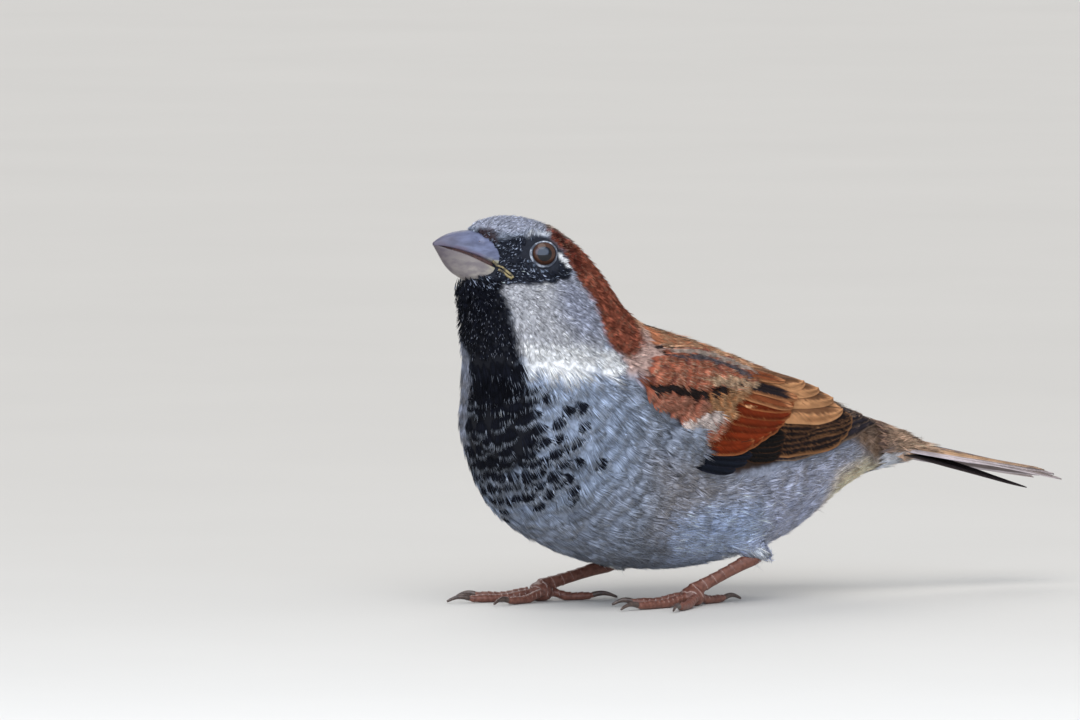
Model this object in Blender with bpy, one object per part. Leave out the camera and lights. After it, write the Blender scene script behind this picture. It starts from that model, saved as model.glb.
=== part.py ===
"""A male house sparrow, life size, standing crouched with its head raised.

The bird faces -X and its left side is at -Y. It stands on Z = 0, under the middle of its box.
Every row below is in millimetres, in the plane that halves the bird, before the box is centred.
"""

import math

import bmesh
import bpy
from mathutils import Matrix, Vector

MM = 0.001
SLIT = 0.3  # clear gap between neighbouring solids

# The plumage is a stack of rings. Each row is one ring: its highest point on the back (x, z),
# its lowest point on the front or belly (x, z), its half width, the share of the way down at
# which it is widest, and how far its sides are swept back behind the line between its two points.
BODY_ROWS = [
    (-65.2, 76.0, -65.2, 67.2, 1.3, 0.50, 0.8),
    (-63.8, 77.3, -65.5, 65.0, 3.0, 0.48, 2.9),
    (-60.2, 78.5, -65.1, 61.4, 5.7, 0.46, 4.6),
    (-53.6, 78.8, -64.9, 57.0, 8.7, 0.43, 3.4),
    (-46.0, 76.5, -64.4, 52.0, 10.9, 0.44, 1.6),
    (-39.4, 71.7, -63.6, 47.0, 12.6, 0.46, 0.0),
    (-34.5, 65.8, -63.3, 41.4, 14.8, 0.48, 0.0),
    (-30.4, 60.0, -63.3, 35.4, 17.6, 0.52, 0.0),
    (-24.4, 56.0, -61.8, 28.0, 20.2, 0.54, 0.0),
    (-14.9, 53.2, -58.0, 20.0, 22.2, 0.54, 0.0),
    (-5.0, 49.9, -50.0, 13.2, 23.0, 0.54, 0.0),
    (5.0, 46.2, -38.0, 8.5, 22.4, 0.52, 0.0),
    (13.6, 42.4, -22.5, 6.2, 20.2, 0.50, 0.0),
    (20.6, 39.2, -7.8, 7.4, 16.6, 0.48, 0.0),
    (26.4, 36.4, 4.8, 11.0, 12.4, 0.46, 0.0),
    (31.6, 34.2, 15.2, 18.0, 8.6, 0.46, 0.0),
    (36.8, 32.4, 27.0, 24.2, 6.2, 0.48, 0.0),
    (41.0, 31.2, 38.6, 26.4, 4.2, 0.50, 0.0),
]
BODY_SIDES = 26
BODY_STEPS = 2  # rings for each row
BODY_SQUARENESS = 2.15  # 2 is an ellipse
HEAD_END = 5.0  # the row at which the head meets the neck
NECK_END = 7.0
SLIT_ROWS = 0.03  # half a slit, counted in rows

# Bill rows: a ring's highest point (x, z), its lowest point (x, z) and its half width.
UPPER_BILL_ROWS = [
    (-72.2, 73.9, -72.1, 73.3, 0.35),
    (-70.9, 74.8, -70.5, 73.2, 1.15),
    (-68.4, 75.8, -67.6, 72.5, 2.2),
    (-65.0, 76.3, -63.9, 71.2, 3.2),
    (-61.4, 76.1, -60.2, 69.5, 4.0),
    (-57.4, 75.0, -56.4, 67.8, 4.5),
]
LOWER_BILL_ROWS = [
    (-71.4, 72.8, -71.2, 72.2, 0.35),
    (-70.2, 72.7, -69.6, 70.3, 1.1),
    (-67.6, 72.1, -67.0, 68.2, 2.1),
    (-64.1, 70.8, -63.6, 66.4, 3.0),
    (-60.4, 69.1, -60.2, 65.2, 3.8),
    (-56.6, 67.4, -56.5, 65.0, 4.3),
]
UPPER_BILL_WIDEST = 0.94
LOWER_BILL_WIDEST = 0.06
BILL_SIDES = 14
BILL_STEPS = 2
BILL_SQUARENESS = 2.0

EYE_CENTRE = (-50.8, 6.4, 71.4)
EYE_RADIUS = 3.2

# Wing rows, from the bend of the wing to its tip, for the right side: the upper edge (x, y, z),
# the lower edge (x, y, z), how far the outer face bulges past the line between them, and the
# thickness.
WING_ROWS = [
    (-37.0, 17.6, 49.6, -36.4, 18.8, 45.0, 0.8, 1.6),
    (-33.0, 15.4, 52.6, -33.4, 21.0, 37.6, 3.0, 3.0),
    (-25.0, 13.4, 53.0, -26.0, 22.6, 31.0, 4.4, 3.6),
    (-15.0, 11.8, 51.0, -16.0, 22.8, 27.2, 5.0, 3.6),
    (-5.0, 10.4, 47.8, -6.0, 20.6, 28.4, 4.6, 3.2),
    (4.0, 9.0, 45.0, 4.0, 16.8, 30.2, 3.8, 2.8),
    (11.6, 7.6, 42.4, 12.8, 12.4, 32.4, 2.4, 2.2),
    (18.8, 5.8, 39.4, 20.2, 8.2, 33.8, 1.2, 1.6),
    (26.4, 4.0, 36.0, 26.8, 4.4, 35.2, 0.2, 0.8),
]
WING_EDGE = 0.7
WING_ARC = 7  # spaces along one face of a ring
WING_STEPS = 1.6
COVERTS_END = 4.4  # the row at which the coverts give way to the quills

# Tail rows: x, height, half width and thickness at the middle.
TAIL_ROWS = [
    (16.0, 34.4, 3.4, 2.2),
    (28.0, 32.4, 4.4, 2.8),
    (42.0, 29.6, 5.6, 2.6),
    (56.0, 26.8, 6.8, 2.0),
    (66.0, 24.6, 7.4, 1.4),
    (70.6, 23.5, 6.6, 1.0),
]
TAIL_EDGE = 0.7
TAIL_ARCH = 1.1  # the middle stands this much over the edges
TAIL_NOTCH = 1.2  # the outer feathers reach this much past the middle ones
TAIL_ROLL = math.radians(9)
TAIL_SPACES = 6
TAIL_STEPS = 2

# Legs, left then right: where the feathered shin leaves the belly, the ankle, the middle of the
# foot, and the way that the foot points, in degrees outwards from straight ahead.
LEGS = {
    "left": {
        "shin": (-17.0, -10.4, 19.0),
        "ankle": (-3.4, -13.4, 10.2),
        "foot": (-19.6, -12.6),
        "splay": 12.0,
    },
    "right": {
        "shin": (-35.0, 10.4, 16.4),
        "ankle": (-21.0, 13.8, 7.2),
        "foot": (-40.0, 12.8),
        "splay": 8.0,
    },
}
FOOT_HEIGHT = 3.0
SHIN_RADII = (4.8, 4.9, 4.5, 3.6, 2.5, 1.2)
SHIN_PAST_ANKLE = 1.6
TARSUS_RADII = (1.5, 1.6, 1.35, 1.25, 1.25, 1.35, 1.6)
TARSUS_SIDES = 12
FOOT_PAD = (2.5, 2.7, 2.2)  # half length, half width, half height
TOE_SIDES = 10

# Toes: the side offset of the root and the heading, both inwards, the toe's length and the claw's.
TOES = {
    "inner": {"offset": 2.1, "turn": 26.0, "length": 9.6, "claw": 4.4},
    "middle": {"offset": 0.0, "turn": -2.0, "length": 13.4, "claw": 5.0},
    "outer": {"offset": -2.1, "turn": -30.0, "length": 10.4, "claw": 4.2},
    "hind": {"offset": 0.4, "turn": 172.0, "length": 8.6, "claw": 5.4},
}
TOE_ROOT = 1.4  # how far ahead of the foot's middle a toe starts
TOE_RADII = (0.9, 0.88, 0.98, 0.84, 0.9, 0.76)
TOE_HEIGHTS = (1.9, 1.5, 0.88, 0.78, 0.82, 0.86)
CLAW_RADII = (0.66, 0.6, 0.5, 0.38, 0.27)
CLAW_HEIGHTS = (0.95, 1.3, 1.35, 1.0, 0.42)

# Colour, roughness and metallic value of each finish.
FINISHES = {
    "grey_plumage": ((0.36, 0.37, 0.42, 1.0), 0.85, 0.0),
    "head_plumage": ((0.30, 0.22, 0.21, 1.0), 0.85, 0.0),
    "wing_plumage": ((0.36, 0.13, 0.05, 1.0), 0.8, 0.0),
    "quills": ((0.22, 0.14, 0.09, 1.0), 0.65, 0.0),
    "bill": ((0.20, 0.19, 0.26, 1.0), 0.35, 0.0),
    "eye": ((0.05, 0.025, 0.015, 1.0), 0.05, 0.0),
    "leg": ((0.30, 0.11, 0.07, 1.0), 0.5, 0.0),
    "claw": ((0.06, 0.04, 0.04, 1.0), 0.35, 0.0),
}


def clear_scene():
    for thing in list(bpy.data.objects):
        bpy.data.objects.remove(thing)


def finish(name):
    """The material of one finish, made once."""
    material = bpy.data.materials.get(name)
    if material is None:
        colour, roughness, metallic = FINISHES[name]
        material = bpy.data.materials.new(name)
        material.use_nodes = True
        shader = material.node_tree.nodes["Principled BSDF"]
        shader.inputs["Base Color"].default_value = colour
        shader.inputs["Roughness"].default_value = roughness
        shader.inputs["Metallic"].default_value = metallic
    return material


def row_at(rows, place):
    """The row at a place counted in rows, on a smooth curve through all of them."""
    last = len(rows) - 1
    i = min(int(place), last - 1)
    t = place - i
    before, here, there, after = (rows[min(max(k, 0), last)] for k in (i - 1, i, i + 1, i + 2))
    return [
        b + 0.5 * t * (c - a + t * (2 * a - 5 * b + 4 * c - d + t * (3 * (b - c) + d - a)))
        for a, b, c, d in zip(before, here, there, after)
    ]


def places(start, end, steps):
    """Places from start to end, about steps of them for each row."""
    count = max(2, round((end - start) * steps))
    return [start + (end - start) * k / count for k in range(count + 1)]


def rounded(value, squareness):
    return math.copysign(abs(value) ** (2 / squareness), value)


def profile_ring(top, low, half_width, widest, sides, squareness, swept=0.0):
    """A closed ring between two points of the middle plane."""
    ring = []
    for k in range(sides):
        turn = 2 * math.pi * k / sides
        up = rounded(math.cos(turn), squareness)
        level = widest * (1 - up) if up > 0 else widest - (1 - widest) * up
        middle = top.lerp(low, level)
        back = swept * math.sin(turn) ** 2
        out = half_width * rounded(math.sin(turn), squareness)
        ring.append(Vector((middle.x + back, out, middle.z)))
    return ring


def solid(name, rings, material, shaded_smooth=True):
    """A closed mesh object through rings of equal length, with flat ends."""
    mesh = bpy.data.meshes.new(name)
    work = bmesh.new()
    loops = [[work.verts.new(point * MM) for point in ring] for ring in rings]
    count = len(rings[0])
    for near, far in zip(loops, loops[1:]):
        for k in range(count):
            after = (k + 1) % count
            work.faces.new((near[k], near[after], far[after], far[k]))
    work.faces.new(loops[0])
    work.faces.new(loops[-1])
    bmesh.ops.recalc_face_normals(work, faces=work.faces)
    work.to_mesh(mesh)
    work.free()
    if shaded_smooth:
        mesh.shade_smooth()
        mesh.set_sharp_from_angle(angle=math.radians(50))
    thing = bpy.data.objects.new(name, mesh)
    thing.data.materials.append(finish(material))
    bpy.context.scene.collection.objects.link(thing)
    return thing


def make_room(thing, *neighbours, solver="EXACT"):
    """Cuts a copy of each neighbour, grown by the slit, out of a solid."""
    for neighbour in neighbours:
        cutter_name = neighbour.name + "_room"
        cutter = bpy.data.objects.get(cutter_name)
        if cutter is None:
            cutter = neighbour.copy()
            cutter.name = cutter_name
            cutter.hide_render = True
            cutter.display_type = "WIRE"
            grow = cutter.modifiers.new("grow", "DISPLACE")
            grow.direction = "NORMAL"
            grow.mid_level = 0
            grow.strength = SLIT * MM
            bpy.context.scene.collection.objects.link(cutter)
        cut = thing.modifiers.new("room_" + neighbour.name, "BOOLEAN")
        cut.operation = "DIFFERENCE"
        cut.solver = solver
        cut.object = cutter


def body_part(name, start, end, material):
    """The plumage between two places of the stack of rings."""
    rings = []
    for place in places(start, end, BODY_STEPS):
        top_x, top_z, low_x, low_z, half_width, widest, swept = row_at(BODY_ROWS, place)
        top, low = Vector((top_x, 0, top_z)), Vector((low_x, 0, low_z))
        rings.append(
            profile_ring(top, low, half_width, widest, BODY_SIDES, BODY_SQUARENESS, swept)
        )
    return solid(name, rings, material)


def bill_part(name, rows, widest):
    rings = []
    for place in places(0, len(rows) - 1, BILL_STEPS):
        top_x, top_z, low_x, low_z, half_width = row_at(rows, place)
        top, low = Vector((top_x, 0, top_z)), Vector((low_x, 0, low_z))
        rings.append(profile_ring(top, low, half_width, widest, BILL_SIDES, BILL_SQUARENESS))
    return solid(name, rings, "bill")


def eye(name, side):
    x, y, z = EYE_CENTRE
    mesh = bpy.data.meshes.new(name)
    work = bmesh.new()
    bmesh.ops.create_uvsphere(work, u_segments=16, v_segments=10, radius=EYE_RADIUS * MM)
    bmesh.ops.rotate(work, verts=work.verts, matrix=Matrix.Rotation(math.pi / 2, 3, "X"))
    work.to_mesh(mesh)
    work.free()
    mesh.shade_smooth()
    ball = bpy.data.objects.new(name, mesh)
    ball.location = Vector((x, side * y, z)) * MM
    ball.data.materials.append(finish("eye"))
    bpy.context.scene.collection.objects.link(ball)
    return ball


def wing_ring(row, side):
    """One ring across the wing: its outer face from the upper edge down, then its inner face back."""
    upper, lower = Vector(row[0:3]), Vector(row[3:6])
    bulge, thickness = row[6:8]
    across = lower - upper
    outwards = Vector((0, -across.z, across.y)).normalized()
    ring = []
    for k in range(WING_ARC + 1):
        t = k / WING_ARC
        ring.append(upper.lerp(lower, t) + outwards * bulge * math.sin(math.pi * t))
    for k in range(WING_ARC, -1, -1):
        t = k / WING_ARC
        depth = WING_EDGE + (thickness - WING_EDGE) * math.sin(math.pi * t)
        ring.append(upper.lerp(lower, t) + outwards * (bulge * math.sin(math.pi * t) - depth))
    return [Vector((point.x, side * point.y, point.z)) for point in ring]


def wing_part(name, side, start, end, material):
    rings = [wing_ring(row_at(WING_ROWS, place), side) for place in places(start, end, WING_STEPS)]
    return solid(name, rings, material)


def tail_part():
    """The folded tail, a thin arched slab rolled a little about its own length."""
    base = Vector((TAIL_ROWS[0][0], 0, TAIL_ROWS[0][1]))
    tip = Vector((TAIL_ROWS[-1][0], 0, TAIL_ROWS[-1][1]))
    roll = Matrix.Rotation(-TAIL_ROLL, 3, tip - base)
    rings = []
    for place in places(0, len(TAIL_ROWS) - 1, TAIL_STEPS):
        x, height, half_width, thickness = row_at(TAIL_ROWS, place)
        reach = TAIL_NOTCH * (place / (len(TAIL_ROWS) - 1)) ** 4
        spans = [2 * k / TAIL_SPACES - 1 for k in range(TAIL_SPACES + 1)]
        upper, lower = [], []
        for span in spans:
            crest = height - TAIL_ARCH * span * span
            depth = TAIL_EDGE + (thickness - TAIL_EDGE) * (1 - span * span)
            along = x + reach * span * span
            upper.append(Vector((along, half_width * span, crest)))
            lower.append(Vector((along, half_width * span, crest - depth)))
        rings.append([base + roll @ (point - base) for point in upper + lower[::-1]])
    return solid("tail", rings, "quills")


def tube(name, path, radii, sides, material, narrowing=1.0, floor=False):
    """A tube along a path, with its width across the path times narrowing.

    With floor, it is flat where it meets Z = 0.
    """
    rings = []
    for k, (point, radius) in enumerate(zip(path, radii)):
        ahead = path[min(k + 1, len(path) - 1)] - path[max(k - 1, 0)]
        across = ahead.cross(Vector((0, 0, 1))).normalized()
        over = across.cross(ahead).normalized()
        ring = []
        for n in range(sides):
            turn = 2 * math.pi * n / sides
            spot = point + across * radius * narrowing * math.cos(turn) + over * radius * math.sin(turn)
            if floor:
                spot.z = max(spot.z, 0)
            ring.append(spot)
        rings.append(ring)
    return solid(name, rings, material)


def tarsus(name, leg):
    """The bare leg from the ankle to the foot, joined to the pad that the toes grow from."""
    foot = Vector((*leg["foot"], FOOT_HEIGHT))
    ankle = Vector(leg["ankle"])
    count = len(TARSUS_RADII) - 1
    path = [ankle.lerp(foot, k / count) for k in range(count + 1)]
    shank = tube(name, path, TARSUS_RADII, TARSUS_SIDES, "leg", narrowing=0.8)
    pad = bpy.data.meshes.new(name + "_pad")
    work = bmesh.new()
    bmesh.ops.create_uvsphere(work, u_segments=12, v_segments=8, radius=1)
    half_length, half_width, half_height = FOOT_PAD
    heading = Matrix.Rotation(splay_of(leg), 3, "Z")
    for vertex in work.verts:
        spot = Vector((vertex.co.x * half_length, vertex.co.y * half_width, vertex.co.z * half_height))
        spot = heading @ spot + Vector((foot.x, foot.y, half_height - SLIT))
        vertex.co = Vector((spot.x, spot.y, max(spot.z, 0))) * MM
    bmesh.ops.remove_doubles(work, verts=work.verts, dist=0.01 * MM)
    bmesh.ops.recalc_face_normals(work, faces=work.faces)
    work.to_mesh(pad)
    work.free()
    pad_object = bpy.data.objects.new(name + "_pad", pad)
    pad_object.hide_render = True
    pad_object.display_type = "WIRE"
    bpy.context.scene.collection.objects.link(pad_object)
    join = shank.modifiers.new("pad", "BOOLEAN")
    join.operation = "UNION"
    join.solver = "EXACT"
    join.object = pad_object
    return shank


def splay_of(leg):
    """The foot's turn about Z: the left foot points out towards -Y and the right one towards +Y."""
    return math.copysign(math.radians(leg["splay"]), -leg["ankle"][1])


def toe_and_claw(side_name, leg, toe_name, toe):
    """One toe and its claw. Toes lie on the floor and the claws arch to it."""
    inwards = math.copysign(1, -leg["ankle"][1])
    ahead = Matrix.Rotation(splay_of(leg), 3, "Z") @ Vector((-1, 0, 0))
    inner = Vector((0, inwards, 0))
    heading = Matrix.Rotation(-inwards * math.radians(toe["turn"]), 3, "Z") @ ahead
    root = Vector((*leg["foot"], 0)) + inner * toe["offset"] + heading * TOE_ROOT
    count = len(TOE_RADII) - 1
    path = []
    for k, height in enumerate(TOE_HEIGHTS):
        spot = root + heading * toe["length"] * k / count
        path.append(Vector((spot.x, spot.y, height)))
    digit = tube(f"toe_{toe_name}_{side_name}", path, TOE_RADII, TOE_SIDES, "leg", floor=True)
    tip = path[-1] + heading * SLIT
    claw_count = len(CLAW_RADII) - 1
    claw_path = []
    for k, height in enumerate(CLAW_HEIGHTS):
        spot = tip + heading * toe["claw"] * k / claw_count
        claw_path.append(Vector((spot.x, spot.y, height)))
    tube(f"claw_{toe_name}_{side_name}", claw_path, CLAW_RADII, TOE_SIDES - 2, "claw", narrowing=0.75)
    return digit


def shin(name, leg):
    """The feathered shin, which shows only where it leaves the belly and hides the ankle."""
    start, ankle = Vector(leg["shin"]), Vector(leg["ankle"])
    end = ankle + (ankle - start).normalized() * SHIN_PAST_ANKLE
    count = len(SHIN_RADII) - 1
    path = [start.lerp(end, k / count) for k in range(count + 1)]
    return tube(name, path, SHIN_RADII, TARSUS_SIDES, "grey_plumage")


def stand_on_floor():
    """Hangs every solid on one empty and moves it so that the box's bottom centre is the origin."""
    stand = bpy.data.objects.new("sparrow", None)
    bpy.context.scene.collection.objects.link(stand)
    bpy.context.view_layer.update()
    graph = bpy.context.evaluated_depsgraph_get()
    corners = []
    for thing in bpy.context.scene.objects:
        if thing.type == "MESH" and not thing.hide_render:
            shown = thing.evaluated_get(graph)
            corners += [shown.matrix_world @ Vector(corner) for corner in shown.bound_box]
    for thing in bpy.context.scene.objects:
        if thing.type == "MESH":
            thing.parent = stand
    low = [min(corner[axis] for corner in corners) for axis in range(3)]
    high = [max(corner[axis] for corner in corners) for axis in range(3)]
    stand.location = (-(low[0] + high[0]) / 2, -(low[1] + high[1]) / 2, -low[2])


def build():
    clear_scene()
    last = len(BODY_ROWS) - 1
    head = body_part("head", 0, HEAD_END - SLIT_ROWS, "head_plumage")
    body_part("neck", HEAD_END + SLIT_ROWS, NECK_END - SLIT_ROWS, "grey_plumage")
    trunk = body_part("trunk", NECK_END + SLIT_ROWS, last, "grey_plumage")
    upper_bill = bill_part("bill_upper", UPPER_BILL_ROWS, UPPER_BILL_WIDEST)
    lower_bill = bill_part("bill_lower", LOWER_BILL_ROWS, LOWER_BILL_WIDEST)
    eyes = [eye("eye_left", -1), eye("eye_right", 1)]
    # The exact solver leaves the head open where the rooms of the two halves of the bill cross.
    make_room(head, upper_bill, lower_bill, *eyes, solver="MANIFOLD")

    # The exact solver empties the trunk at the third or fourth of these cuts.
    tail = tail_part()
    make_room(trunk, tail, solver="MANIFOLD")
    for side_name, side in (("left", -1), ("right", 1)):
        wing_end = len(WING_ROWS) - 1
        coverts = wing_part(
            f"wing_coverts_{side_name}", side, 0, COVERTS_END - SLIT_ROWS, "wing_plumage"
        )
        quills = wing_part(
            f"wing_quills_{side_name}", side, COVERTS_END + SLIT_ROWS, wing_end, "quills"
        )
        leg = LEGS[side_name]
        shank = tarsus(f"tarsus_{side_name}", leg)
        feathered = shin(f"shin_{side_name}", leg)
        make_room(shank, feathered)
        make_room(trunk, coverts, quills, feathered, solver="MANIFOLD")
        for toe_name, toe in TOES.items():
            # The exact solver loses a toe whose flat lies in the foot's own.
            make_room(toe_and_claw(side_name, leg, toe_name, toe), shank, solver="MANIFOLD")
    stand_on_floor()


build()
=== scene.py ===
# A grown male house sparrow at life size, standing, as a still display model.
import math
import bpy
import numpy as np
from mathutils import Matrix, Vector
from mathutils.bvhtree import BVHTree
from mathutils.kdtree import KDTree


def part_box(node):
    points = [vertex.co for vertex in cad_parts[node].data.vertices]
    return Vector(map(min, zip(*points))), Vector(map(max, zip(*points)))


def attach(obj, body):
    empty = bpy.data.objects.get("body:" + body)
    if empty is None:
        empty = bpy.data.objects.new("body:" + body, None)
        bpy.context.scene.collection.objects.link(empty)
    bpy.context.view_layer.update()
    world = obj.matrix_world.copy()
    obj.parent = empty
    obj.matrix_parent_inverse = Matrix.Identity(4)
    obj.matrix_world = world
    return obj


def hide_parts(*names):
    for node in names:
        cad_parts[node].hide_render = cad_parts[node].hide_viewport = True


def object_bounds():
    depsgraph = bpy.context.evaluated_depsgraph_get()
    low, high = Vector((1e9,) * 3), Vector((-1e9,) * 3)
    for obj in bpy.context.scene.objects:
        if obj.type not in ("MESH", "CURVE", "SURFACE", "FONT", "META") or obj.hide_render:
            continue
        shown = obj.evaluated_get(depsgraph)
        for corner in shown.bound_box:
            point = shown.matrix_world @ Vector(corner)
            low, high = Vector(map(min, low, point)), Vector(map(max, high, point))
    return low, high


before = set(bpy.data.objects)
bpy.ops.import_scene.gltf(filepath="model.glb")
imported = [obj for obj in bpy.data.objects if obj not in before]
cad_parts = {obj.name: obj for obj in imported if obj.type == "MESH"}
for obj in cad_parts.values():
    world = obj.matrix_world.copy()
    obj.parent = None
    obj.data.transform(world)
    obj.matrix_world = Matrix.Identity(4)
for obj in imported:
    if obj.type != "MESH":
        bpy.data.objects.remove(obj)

mm = 0.001
farOff = 1e9              # a start value for the nearest of several
sides = {"left": 1, "right": -1}
digits = ("hind", "inner", "middle", "outer")
boxLow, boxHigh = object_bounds()                     # the solid model's box
billLow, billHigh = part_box("bill_upper")
midY = (billLow.y + billHigh.y) / 2               # the bird's middle plane


# Places are told in mm: back from the bill's tip, up from the floor, out to the bird's left.
def spot(back, up, out=0.0):
    return Vector((boxLow.x + back * mm, midY - out * mm, boxLow.z + up * mm))


def placesOf(points):
    points = np.asarray(points, float).reshape(-1, 3)
    measures = [points[:, 0] - boxLow.x, points[:, 2] - boxLow.z, midY - points[:, 1]]
    return np.stack(measures, 1) / mm


def smoothRise(value, start, end):
    t = np.clip((value - start) / (end - start), 0, 1)
    return t * t * (3 - 2 * t)


def unitRows(rows):
    return rows / np.maximum(np.linalg.norm(rows, axis=-1, keepdims=True), 1e-12)


def choose(*pieces):
    bpy.ops.object.select_all(action="DESELECT")
    for piece in pieces:
        piece.select_set(True)
    bpy.context.view_layer.objects.active = pieces[0]


def addPiece(name, data):
    piece = bpy.data.objects.new(name, data)
    bpy.context.scene.collection.objects.link(piece)
    return piece


def applyModifiers(piece):
    choose(piece)
    for modifier in list(piece.modifiers):
        bpy.ops.object.modifier_apply(modifier=modifier.name)


def applyPlace(piece):
    choose(piece)
    bpy.ops.object.transform_apply(location=True, rotation=True, scale=True)


def mergePoints(piece):
    choose(piece)
    bpy.ops.object.mode_set(mode="EDIT")
    bpy.ops.mesh.select_all(action="SELECT")
    bpy.ops.mesh.remove_doubles(threshold=1e-6)
    bpy.ops.object.mode_set(mode="OBJECT")


def joinAll(pieces, name):
    choose(*pieces)
    if len(pieces) > 1:
        bpy.ops.object.join()
    pieces[0].name = name
    return pieces[0]


def copyOf(nodes, name):
    copies = []
    for node in nodes:
        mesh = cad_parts[node].data.copy()
        mesh.materials.clear()
        piece = addPiece(name, mesh)
        mergePoints(piece)
        copies.append(piece)
    return joinAll(copies, name)


def cutOff(piece, at, towards):
    # takes off what lies beyond a plane and closes the cut
    choose(piece)
    bpy.ops.object.mode_set(mode="EDIT")
    bpy.ops.mesh.select_all(action="SELECT")
    bpy.ops.mesh.bisect(plane_co=at, plane_no=towards, use_fill=True, clear_outer=True)
    bpy.ops.object.mode_set(mode="OBJECT")
    return piece


def roundOff(piece):
    rounder = piece.modifiers.new("rounder", "SUBSURF")
    rounder.levels = rounder.render_levels = 2
    applyModifiers(piece)


def pointsOf(mesh, kind="co"):
    points = np.zeros(len(mesh.vertices) * 3)
    mesh.vertices.foreach_get(kind, points)
    return points.reshape(-1, 3)


def normalsOf(mesh):
    return pointsOf(mesh, "normal")


def nodePoints(node):
    return pointsOf(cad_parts[node].data)


def movePoints(piece, points):
    piece.data.vertices.foreach_set("co", points.ravel())
    piece.data.update()


def surfaceOf(piece):
    return BVHTree.FromPolygons(
        [v.co for v in piece.data.vertices], [p.vertices for p in piece.data.polygons])


def nodeSurface(nodes):
    points, faces = [], []
    for node in nodes:
        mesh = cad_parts[node].data
        start = len(points)
        points += [v.co.copy() for v in mesh.vertices]
        faces += [[start + i for i in p.vertices] for p in mesh.polygons]
    return BVHTree.FromPolygons(points, faces)


def distancesTo(surface, points):
    return np.array([surface.find_nearest(Vector(p))[3] for p in points]) / mm


def snapTo(surface, points):
    spots, normals = np.empty_like(points), np.empty_like(points)
    for i, p in enumerate(points):
        found = surface.find_nearest(Vector(p))
        spots[i], normals[i] = found[0], found[1]
    return spots, normals


def setValues(mesh, name, kind, values):
    field = {"FLOAT": "value", "FLOAT_COLOR": "color"}[kind]
    values = np.asarray(values, np.float32)
    if kind == "FLOAT_COLOR":
        values = np.concatenate([values, np.ones((len(values), 1), np.float32)], 1)
    layer = mesh.attributes.new(name, kind, "POINT")
    layer.data.foreach_set(field, values.ravel())


def setMap(mesh, name, perPoint):
    corners = np.zeros(len(mesh.loops), np.int32)
    mesh.loops.foreach_get("vertex_index", corners)
    layer = mesh.uv_layers.new(name=name)
    layer.uv.foreach_set("vector", np.asarray(perPoint, np.float32)[corners].ravel())


def finishPiece(piece, material, replaced=()):
    piece.data.materials.clear()
    piece.data.materials.append(material)
    piece.data.polygons.foreach_set("use_smooth", [True] * len(piece.data.polygons))
    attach(piece, "root")
    if replaced:
        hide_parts(*replaced)
    return piece


def newMaterial(name, roughness, specular=0.5):
    material = bpy.data.materials.new(name)
    material.use_nodes = True
    tree = material.node_tree
    shader = tree.nodes["Principled BSDF"]
    shader.inputs["Roughness"].default_value = roughness
    shader.inputs["Specular IOR Level"].default_value = specular
    return material, tree, shader


def addNode(tree, kind, inputs=None, **settings):
    node = tree.nodes.new(kind)
    for key, value in settings.items():
        setattr(node, key, value)
    for key, value in (inputs or {}).items():
        if isinstance(value, bpy.types.NodeSocket):
            tree.links.new(value, node.inputs[key])
        else:
            node.inputs[key].default_value = value
    return node


def readValue(tree, name, socket="Fac"):
    return addNode(tree, "ShaderNodeAttribute", attribute_name=name).outputs[socket]


def mathNode(tree, operation, first, second=0.0, third=0.0):
    inputs = {0: first, 1: second, 2: third}
    return addNode(tree, "ShaderNodeMath", inputs, operation=operation).outputs[0]


def riseNode(tree, value, start, end):
    inputs = {"Value": value, "From Min": start, "From Max": end}
    return addNode(tree, "ShaderNodeMapRange", inputs, interpolation_type="SMOOTHSTEP").outputs[0]


def mixNode(tree, share, first, second, blend="MIX"):
    inputs = {0: share}
    for key, tone in ((6, first), (7, second)):
        inputs[key] = tone if isinstance(tone, bpy.types.NodeSocket) else (*tone, 1)
    return addNode(tree, "ShaderNodeMix", inputs, data_type="RGBA", blend_type=blend).outputs[2]


def noiseNode(tree, scale, detail=3.0, vector=None):
    inputs = {"Scale": scale, "Detail": detail}
    if vector is None:
        vector = addNode(tree, "ShaderNodeTexCoord").outputs["Object"]
    inputs["Vector"] = vector
    return addNode(tree, "ShaderNodeTexNoise", inputs).outputs["Fac"]


def bumpOn(tree, shader, height, strength, distance):
    inputs = {"Height": height, "Strength": strength, "Distance": distance}
    tree.links.new(addNode(tree, "ShaderNodeBump", inputs).outputs[0], shader.inputs["Normal"])


def colourOn(tree, shader, colour):
    tree.links.new(colour, shader.inputs["Base Color"])


def unevenTone(tree, colour, scale, detail, dark, light):
    # soft patches that make a colour darker and lighter
    patch = riseNode(tree, noiseNode(tree, scale, detail), 0.3, 0.7)
    shade = mixNode(tree, patch, (dark,) * 3, (light,) * 3)
    return mixNode(tree, 1.0, colour, shade, "MULTIPLY")


def grainyMaterial(name, look):
    # two tones in a fine grain: for the mouth, the gape and the claws
    material, tree, shader = newMaterial(name, look["roughness"], look["specular"])
    grain = riseNode(tree, noiseNode(tree, look["grain"], look["detail"]), *look["rise"])
    colourOn(tree, shader, mixNode(tree, grain, look["dark"], look["light"]))
    if "bump" in look:
        bumpOn(tree, shader, grain, look["bump"], 0.00005)
    return material


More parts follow.
